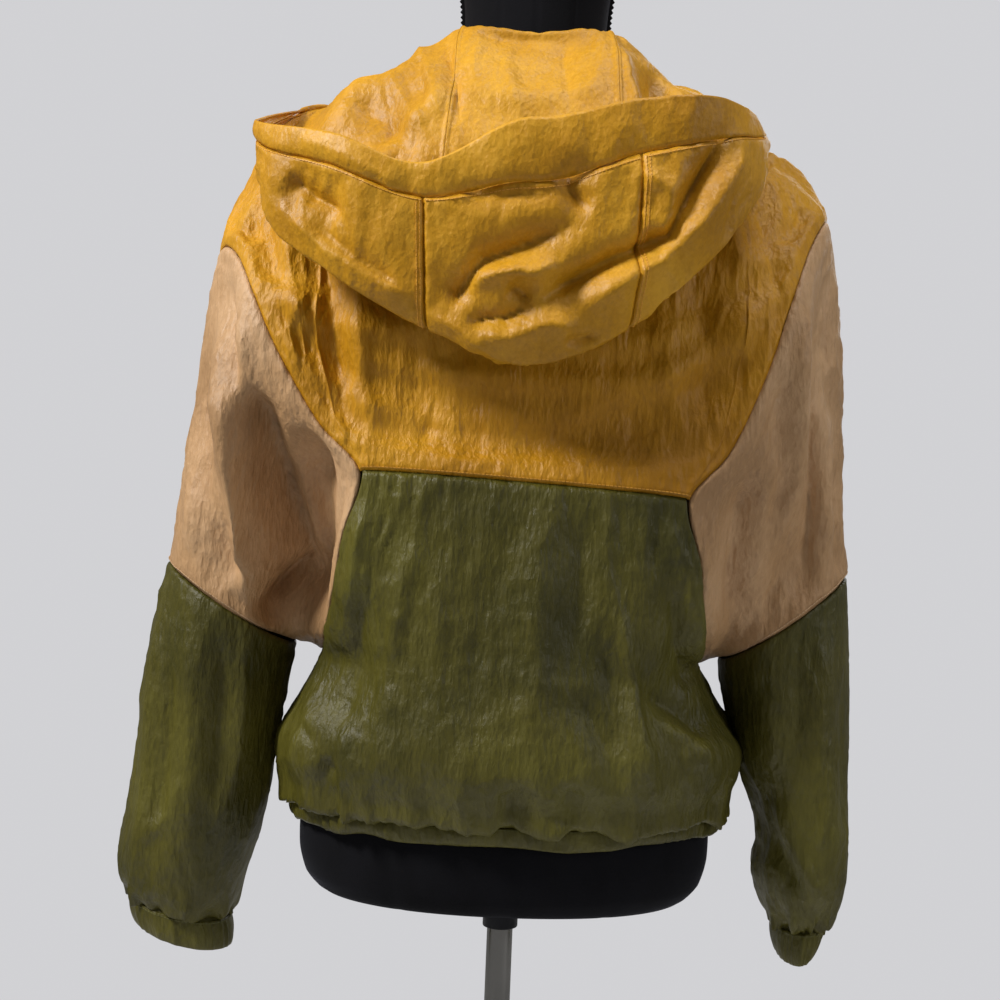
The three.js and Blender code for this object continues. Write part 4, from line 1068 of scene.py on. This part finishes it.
def make_stage():
    mesh = bmesh.new()
    bmesh.ops.create_grid(mesh, x_segments=8, y_segments=8, size=FLOOR_HALF)
    material, tree, shader = new_material("pale floor")
    place_key = node(tree, "ShaderNodeTexCoord").outputs["Object"]
    shade = ramp(tree, scaled_noise(tree, place_key, (1, 1, 1), 3, 3),
                 [(0.3, (0.66, 0.66, 0.67)), (0.7, (0.7, 0.7, 0.71))])
    tree.links.new(shade, shader.inputs["Base Color"])
    shader.inputs["Roughness"].default_value = 0.8
    new_object("floor", mesh, material)

    world = bpy.data.worlds.new("studio")
    bpy.context.scene.world = world
    world.use_nodes = True
    tree = world.node_tree
    ambient = tree.nodes["Background"]
    ambient.inputs["Color"].default_value = (1.0, 0.99, 0.98, 1)
    ambient.inputs["Strength"].default_value = WORLD_LIGHT
    seen = node(tree, "ShaderNodeBackground")
    seen.inputs["Color"].default_value = (0.97, 0.97, 1.0, 1)
    seen.inputs["Strength"].default_value = WORLD_SEEN
    choice = node(tree, "ShaderNodeMixShader")
    tree.links.new(node(tree, "ShaderNodeLightPath").outputs["Is Camera Ray"], choice.inputs[0])
    tree.links.new(ambient.outputs[0], choice.inputs[1])
    tree.links.new(seen.outputs[0], choice.inputs[2])
    tree.links.new(choice.outputs[0], tree.nodes["World Output"].inputs["Surface"])

    area_light("key", (1.7, 0.95, 2.4), (0, 0, 0.9), (0.5, 0.5), 70, (1, 0.985, 0.96))
    area_light("fill", (-2.1, 1.1, 1.5), (0, 0, 0.8), (0.7, 0.7), 11)
    area_light("top", (-0.4, 0.5, 2.9), (0, 0, 1.0), (0.7, 0.7), 18)
    area_light("front", (-0.9, -2.4, 2.0), (0, 0, 0.9), (1.8, 1.8), 26)


make_camera()
make_stage()
view_settings = bpy.context.scene.view_settings
view_settings.view_transform = "Standard"


# ---------------------------------------------------------------- the cloth pieces

FORM_CLEARANCE = 2.4            # cloth that sinks in is moved out to this far from the form


def clear_of_form(points):
    """Moves points that would sink into the dress form out to its skin."""
    half, behind, ahead, power = np.moveaxis(along_keys(FORM_ROWS, points[..., 2]), -1, 0)
    deep = np.where(points[..., 1] >= 0, behind, ahead) + FORM_CLEARANCE
    across = np.abs(points[..., 0]) / (half + FORM_CLEARANCE)
    inside = across ** power + (np.abs(points[..., 1]) / deep) ** power
    push = np.maximum(1, np.maximum(inside, 1e-4) ** (-1 / power))
    return points * place(push, push, 1)


def finish_cloth(name, points, normals, creases, borders, closed, outward, material, seed,
                 strength=1.0, extra=None, mirror_front=True):
    """Folds, settles, crinkles and seams one panel, then makes its mesh and its wall."""
    gap = border_distance(points, borders, closed)
    free = smooth_step(0, 14, gap)
    x, z = points[..., 0], points[..., 2]
    sign = facing_sign(points, normals)
    if creases is None:
        height = np.zeros(x.shape)
    else:
        behind = crease_height(x, z, creases) * np.maximum(sign, 0)
        ahead = crease_height(-x if mirror_front else x, z, creases) * np.maximum(-sign, 0)
        height = (behind + ahead) * (0.35 + 0.65 * smooth_step(0, 22, gap))
    if extra is not None:
        height = height + extra
    folded = points
    folded = points + settle(points, closed)
    folded = fold_along(folded, normals, height)
    relief = crinkle(points, normals, seed, strength) * free
    laid = fold_along(folded, normals, relief + seam_relief(points, borders, closed, seed + 20))
    laid = clear_of_form(laid)
    obj = make_grid(name, laid, material, closed, outward)
    solidify(obj, CLOTH_WALL)
    join_frame(obj, name.replace("cloth_", ""))
    PANELS[name] = laid


PANELS = {}


def body_panel(name, row_from, row_to, facing, side, caps, material, seed):
    points, normals = body_points(row_from, row_to, facing, side, caps)
    borders = ALL_BORDERS if side == 0 else ("bottom", "top", "end")
    creases = YOKE_CREASES + SLEEVE_CREASES if caps else BODY_CREASES
    extra = None
    if not caps:
        extra = hem_gathers(points)
        points = hang_over(points)
    turned = -facing * (side if side != 0 else 1)
    finish_cloth(name, points, normals, creases, borders, False, turned, material, seed,
                 extra=extra)


def hem_gathers(points):
    """Gathers that fan up from the elastic hem casing."""
    z = points[..., 2]
    around = np.arctan2(points[..., 1] / 130, points[..., 0] / 185) * 165
    above = np.clip(z - HEM_TOP_Z, 0, 200)
    short = ridged(random_field(around, above, 9, 60, 301)) * 3.4 * np.exp(-above / 24)
    medium = ridged(random_field(around, above, 22, 90, 302)) * 5.8 * np.exp(-((above - 14) / 30) ** 2)
    long = random_field(around, above, 34, 200, 303) * 6 * np.exp(-((above - 50) / 60) ** 2)
    blouse = 5.5 * bell(above, 8, 7)
    tight = smooth_step(0, 4, above)
    return (short + medium + long + blouse) * tight


def hang_over(points):
    """Drops the cloth above the hem over part of the casing, more in some places than others."""
    around = np.arctan2(points[..., 1] / 130, points[..., 0] / 185) * 165
    above = np.clip(points[..., 2] - HEM_TOP_Z, 0, 200)
    share = 0.62 + 0.7 * random_field(around, around * 0, 26, 9, 305)
    return points - place(0, 0, 9 * share * bell(above, 9, 8) * smooth_step(0, 3, above))


def sleeve_panels(side):
    word = "left" if side > 0 else "right"
    points, normals = middle_sleeve_points(side)
    finish_cloth(f"cloth_sleeve_mid_{word}", points, normals, SLEEVE_CREASES, ("bottom", "top"),
                 True, -side, TAN, 40 + side, mirror_front=False)

    points, normals, turn, along = lower_sleeve_points(side)
    around = turn * 165
    near_cuff = 1 - along
    short = ridged(random_field(around, along * 0, 9, 50, 400 + side)) * np.exp(-(near_cuff / 0.07) ** 2)
    long = ridged(random_field(around, along * 0, 18, 50, 410 + side)) * bell(near_cuff, 0.05, 0.1)
    gather = 4.2 * short + 5.5 * long
    gather *= smooth_step(0, 0.015, near_cuff)
    finish_cloth(f"cloth_sleeve_lower_{word}", points, normals, CUFF_CREASES, ("bottom", "top"),
                 True, -side, OLIVE, 50 + side, extra=gather, mirror_front=False)

    turn_list = np.linspace(0, 2, 181)[:-1]
    turn, share = np.meshgrid(turn_list, np.linspace(-0.06, 1, 14))
    points = cuff_surface(turn, share, side)
    normals = analytic_normals(lambda a, b: cuff_surface(a, b, side), turn, share, 0.012, 0.01,
                               (-9, 0), (9, 1), -side)
    middle = np.sin(np.pi * np.clip((share + 0.06) / 1.06, 0, 1)) ** 0.7
    shirr = ridged(random_field(turn * 150, share * 0, 7, 9, 430 + side))
    height = 1.4 * shirr * (0.5 + 0.5 * middle) + 1.8 * middle - 0.6
    laid = fold_along(points, normals, height)
    obj = make_grid(f"cloth_cuff_{word}", laid, OLIVE, True, -side)
    solidify(obj, CASING_WALL)
    join_frame(obj, f"cuff_{word}")
    PANELS[obj.name] = laid


def hem_point(share, z):
    angle = share * 2 * math.pi - math.pi / 2
    power = 2 / BODY_ROUNDNESS
    ease = (z - HEM_BOTTOM_Z) / (HEM_TOP_Z - HEM_BOTTOM_Z)
    c, s = np.cos(angle), np.sin(angle)
    return place((179 + 1.5 * ease) * np.sign(c) * np.abs(c) ** power,
                 (122 + 1.5 * ease) * np.sign(s) * np.abs(s) ** power, z)


def hem_band():
    clear = 0.0035
    share, z = np.meshgrid(np.linspace(clear, 1 - clear, 340), np.linspace(HEM_BOTTOM_Z, HEM_TOP_Z + 1.6, 10))
    points = hem_point(share, z)
    normals = unit(points * np.array([1 / 179 ** 2, 1 / 122 ** 2, 0]))
    middle = np.sin(np.pi * np.clip((z - HEM_BOTTOM_Z) / (HEM_TOP_Z + 1.6 - HEM_BOTTOM_Z), 0, 1)) ** 0.6
    run = share * 960
    ruck = ridged(random_field(run, z * 0, 9, 9, 440)) * 2.4 + random_field(run, z * 0, 17, 9, 441) * 2.4
    laid = fold_along(points, normals, 2.2 * middle - 1.6 + ruck * (0.4 + 0.6 * middle))
    laid[..., 2] += 3.6 * random_field(run, z * 0, 30, 9, 442) * smooth_step(HEM_TOP_Z, HEM_BOTTOM_Z, z)
    obj = make_grid("cloth_hem_casing", laid, OLIVE, False, 1)
    solidify(obj, CASING_WALL)
    join_frame(obj, "hem_casing")
    PANELS[obj.name] = laid


def hood_panels():
    spans = {"centre": (-HOOD_PANEL_SHARE, HOOD_PANEL_SHARE, 180),
             "left": (HOOD_PANEL_SHARE, 1, 360), "right": (-1, -HOOD_PANEL_SHARE, 360)}
    for word, (low, high, width) in spans.items():
        points, inside, across, along = hood_points(low, high, 0, HOOD_CASING_SHARE, width, 420)
        x, z = points[..., 0], points[..., 2]
        outer = crease_height(x, z, HOOD_OUTER_CREASES, 1.15) * smooth_step(0.6, 0.68, along)
        inner = crease_height(x, z, HOOD_INNER_CREASES, 1.15) * smooth_step(0.56, 0.44, along)
        inner *= smooth_step(0.04, 0.2, along)
        borders = {"centre": ALL_BORDERS, "left": ("bottom", "top", "start"),
                   "right": ("bottom", "top", "end")}[word]
        finish_cloth(f"cloth_hood_{word}", points, -inside, None, borders, False, -1, MUSTARD_HOOD,
                     70, strength=0.9, extra=outer - inner)
    points, inside, across, along = hood_points(-1, 1, HOOD_CASING_SHARE, 1, 800, 34)
    k = (along - HOOD_CASING_SHARE) / (1 - HOOD_CASING_SHARE)
    flatter = 1 - 0.75 * smooth_step(-0.16, -0.34, across)
    puff = (1.5 * np.sin(np.pi * k) ** 0.7 - 1.4 * bell(k, 0, 0.12)) * flatter
    ruck = random_field(across * 420, k * 20, 14, 30, 460) * 1.2
    ruck += ridged(random_field(across * 420, k * 20, 24, 16, 461)) * 0.9
    sweep = crease_height(points[..., 0], points[..., 2], HOOD_OUTER_CREASES) * 0.5
    laid = fold_along(points, -inside, puff + ruck + sweep)
    obj = make_grid("cloth_hood_casing", laid, MUSTARD_HOOD, False, -1)
    solidify(obj, CASING_WALL)
    join_frame(obj, "hood_casing")
    PANELS[obj.name] = laid


body_panel("cloth_back_yoke", YOKE_ROW, SHOULDER_ROW, 1, 0, True, MUSTARD, 10)
body_panel("cloth_back_lower", 0, YOKE_ROW, 1, 0, False, OLIVE, 20)
for word, side in (("left", 1), ("right", -1)):
    body_panel(f"cloth_front_upper_{word}", YOKE_ROW, SHOULDER_ROW, -1, side, True, MUSTARD,
               12)
    body_panel(f"cloth_front_lower_{word}", 0, YOKE_ROW, -1, side, False, OLIVE, 22)
    sleeve_panels(side)
hem_band()
hood_panels()


# ---------------------------------------------------------------- dress form and stand

def form_ring(z_position, count):
    half, behind, ahead, power = np.moveaxis(along_keys(FORM_ROWS, z_position), -1, 0)
    angle = np.linspace(0, 2 * math.pi, count, endpoint=False)[None, :]
    c, s = np.cos(angle), np.sin(angle)
    half, behind, ahead, power = (value[:, None] for value in (half, behind, ahead, power))
    deep = np.where(s >= 0, behind, ahead)
    x = half * np.sign(c) * np.abs(c) ** (2 / power)
    y = deep * np.sign(s) * np.abs(s) ** (2 / power)
    return place(x, y, z_position[:, None] + 0 * x)


def cap_ends(mesh):
    """Closes every open border loop of a mesh with a face."""
    edges = [edge for edge in mesh.edges if edge.is_boundary]
    if edges:
        bmesh.ops.holes_fill(mesh, edges=edges, sides=0)


FORM_COLUMNS = 144
FORM_SEAM_COLUMNS = (36, 108, 24, 48, 96, 120)


def dress_form():
    heights = np.concatenate([np.linspace(495, 575, 24)[:-1], np.linspace(575, 1080, 110)[:-1],
                              np.linspace(1080, 1190, 60)[:-1], np.linspace(1190, 1299, 36)])
    points = form_ring(heights, FORM_COLUMNS)
    seams = np.zeros(points.shape[:2])
    columns = np.arange(FORM_COLUMNS)
    for column in FORM_SEAM_COLUMNS:
        seams -= 1.1 * np.exp(-((columns - column) / 0.55) ** 2)[None, :]
    below_neck = smooth_step(1299, 1280, heights)[:, None]
    normals = unit(points * np.array([1, 1, 0]))
    points = fold_along(points, normals, seams * below_neck * 0.8)
    obj = make_grid("form_cover", points, VELVET, True, 1)
    mesh = bmesh.new()
    mesh.from_mesh(obj.data)
    cap_ends(mesh)
    bmesh.ops.recalc_face_normals(mesh, faces=mesh.faces)
    mesh.to_mesh(obj.data)
    mesh.free()
    join_frame(obj, "form_torso")


def pinked_seams():
    """Saw-toothed seam turnings that stand out on both sides of the form's neck."""
    mesh = bmesh.new()
    for side in (1, -1):
        heights = np.arange(1196, 1298, 2.25)
        base = form_ring(heights, 4)[:, 0 if side > 0 else 2]
        made = bmesh.ops.create_grid(mesh, x_segments=1, y_segments=len(heights) - 1, size=1)["verts"]
        for n, vert in enumerate(sorted(made, key=lambda item: (round(item.co.y, 4), item.co.x))):
            level, outer = divmod(n, 2)
            tooth = 2.2 + (1.8 if level % 2 else 0)
            reach = tooth if outer else -1
            vert.co = Vector((base[level][0] + side * reach, base[level][1], base[level][2])) * MM
    obj = solidify(new_object("form_neck_seams", mesh, VELVET), TURNING_WALL)
    obj.modifiers["wall"].offset = 0
    join_frame(obj)


TURN_STEPS = 96


def turned_piece(name, outline, replaced, bevel, material):
    """A solid of revolution from radius and height pairs, in mm."""
    mesh = bmesh.new()
    rim = [mesh.verts.new((r * MM, 0, z * MM)) for r, z in outline]
    edges = [mesh.edges.new((a, b)) for a, b in zip(rim[:-1], rim[1:])]
    bmesh.ops.spin(mesh, geom=rim + edges, cent=(0, 0, 0), axis=(0, 0, 1), angle=2 * math.pi,
                   steps=TURN_STEPS, use_merge=True, use_duplicate=False)
    bmesh.ops.remove_doubles(mesh, verts=mesh.verts, dist=1e-6)
    bmesh.ops.recalc_face_normals(mesh, faces=mesh.faces)
    for face in mesh.faces:
        face.smooth = True
    obj = new_object(name, mesh, material)
    rounding = obj.modifiers.new("edges", "BEVEL")
    rounding.width = bevel * MM
    rounding.segments = 2
    rounding.limit_method = "ANGLE"
    join_frame(obj, replaced)


def stand():
    turned_piece("pole", [(0, 44.6), (11, 44.6), (11, 464.7), (0, 464.7)], "stand_pole", 0.5, STEEL)
    flange = [(0, 464.7), (15, 464.7), (15, 490.7), (34, 490.7), (34, 494.7), (0, 494.7)]
    turned_piece("flange", flange, "form_flange", 0.9, BLACK_PAINT)
    socket = [(0, 10.3), (26, 10.3), (26, 14.3), (17, 24.3), (17, 44.3), (0, 44.3)]
    turned_piece("socket", socket, "stand_socket", 0.9, STEEL)
    base = [(0, 0), (168, 0), (170, 2), (170, 7), (167, 10), (0, 10)]
    turned_piece("base", base, "stand_base", 0.9, STEEL)


# ---------------------------------------------------------------- zip teeth

def front_line(row):
    middle = body_middle(np.asarray(row, float), -1)
    return place(0, -middle[..., 0], middle[..., 1])


TOOTH_PITCH = 2.4
TOOTH_SIZE = (3.4, 1.3, 1.4)    # across, along and out from the chain


def zip_teeth():
    """Two rows of coil teeth on the chain."""
    rows = np.linspace(0, SHOULDER_ROW, 200)
    stand_line = HOOD_SECTIONS[1][-1][[0, 2, 4]] - np.array([4, 0, 1])
    path = np.concatenate([front_line(rows), stand_line])
    run = np.concatenate([[0], np.cumsum(np.linalg.norm(np.diff(path, axis=0), axis=1))])
    count = int(run[-1] / TOOTH_PITCH)
    at = np.linspace(2, run[-1] - 2, count)
    centres = np.stack([np.interp(at, run, path[:, n]) for n in range(3)], axis=1)
    forward = unit(np.gradient(centres, axis=0))
    mesh = bmesh.new()
    size = Matrix.Diagonal((*TOOTH_SIZE, 1))
    for n, (centre, ahead) in enumerate(zip(centres, forward)):
        side = 1 if n % 2 else -1
        out = Vector((0, -ahead[2], ahead[1]))
        made = bmesh.ops.create_cube(mesh, size=1)["verts"]
        turned = Matrix((Vector((1, 0, 0)), Vector(ahead), out)).transposed().to_4x4()
        where = Vector(centre) + Vector((side * 0.9, 0, 0)) + out * 1.5
        for vert in made:
            vert.co = (Matrix.Translation(where) @ turned @ size @ vert.co) * MM
    join_frame(new_object("zip_coil", mesh, ZIP_TAPE))


# ---------------------------------------------------------------- stitches

STITCH_PITCH = 3.1
STITCH_SIZE = (2.3, 0.55, 0.5)  # along, across and out
STITCH_LIFT = 0.25


def stitch_line(line, normals):
    """Centres, directions and normals of the stitches along a line of points."""
    step = np.linalg.norm(np.diff(line, axis=0), axis=1)
    run = np.concatenate([[0], np.cumsum(step)])
    at = np.arange(STITCH_PITCH, run[-1] - STITCH_PITCH, STITCH_PITCH)
    if len(at) < 2:
        return []
    centres = np.stack([np.interp(at, run, line[:, n]) for n in range(3)], axis=1)
    outs = unit(np.stack([np.interp(at, run, normals[:, n]) for n in range(3)], axis=1))
    ahead = unit(np.gradient(centres, axis=0))
    return [(c + o * STITCH_LIFT, a, o) for c, a, o in zip(centres, ahead, outs)]


def build_stitches(name, stitches, material):
    mesh = bmesh.new()
    size = Matrix.Diagonal((*STITCH_SIZE, 1))
    for centre, ahead, out in stitches:
        made = bmesh.ops.create_cube(mesh, size=1)["verts"]
        across = np.cross(out, ahead)
        turned = Matrix((Vector(ahead), Vector(across), Vector(out))).transposed().to_4x4()
        for vert in made:
            vert.co = (Matrix.Translation(Vector(centre)) @ turned @ size @ vert.co) * MM
    bmesh.ops.recalc_face_normals(mesh, faces=mesh.faces)
    join_frame(new_object(name, mesh, material))


def panel_lines(name, closed, outward, picks):
    """Stitch lines on a panel that run beside its borders: each pick is an edge and a distance."""
    points = PANELS[name]
    normals = grid_normals(points, closed, outward)
    lines = []
    for edge, distance in picks:
        steps = max(int(round(distance / CLOTH_STEP)), 1)
        if edge == "bottom":
            lines.append((points[steps], normals[steps]))
        elif edge == "top":
            lines.append((points[-1 - steps], normals[-1 - steps]))
        elif edge == "start":
            lines.append((points[:, steps], normals[:, steps]))
        else:
            lines.append((points[:, -1 - steps], normals[:, -1 - steps]))
    return [stitch for line in lines for stitch in stitch_line(*line)]


def all_stitches():
    mustard = panel_lines("cloth_back_yoke", False, -1, [("bottom", 3)])
    for word, side in (("left", 1), ("right", -1)):
        mustard += panel_lines(f"cloth_front_upper_{word}", False, side, [("bottom", 3)])
    mustard += panel_lines("cloth_hood_left", False, -1, [("start", 3), ("start", 7), ("top", 3)])
    mustard += panel_lines("cloth_hood_right", False, -1, [("end", 3), ("end", 7), ("top", 3)])
    mustard += panel_lines("cloth_hood_centre", False, -1, [("top", 3)])
    build_stitches("stitches_mustard", mustard, MUSTARD_THREAD)
    tan = []
    olive = panel_lines("cloth_hem_casing", False, 1, [("top", 2)])
    for word, side in (("left", 1), ("right", -1)):
        tan += panel_lines(f"cloth_sleeve_mid_{word}", True, -side, [("top", 3)])
        olive += panel_lines(f"cloth_cuff_{word}", True, -side, [("bottom", 2)])
    build_stitches("stitches_tan", tan, TAN_THREAD)
    build_stitches("stitches_olive", olive, OLIVE_THREAD)


dress_form()
pinked_seams()
stand()
zip_teeth()
all_stitches()

CAD_FINISHES = {"zip_chain": ZIP_TAPE, "zip_slider": ZIP_METAL, "zip_pull": ZIP_METAL}
for name, material in CAD_FINISHES.items():
    for slot in bpy.data.objects[name].material_slots:
        slot.material = material
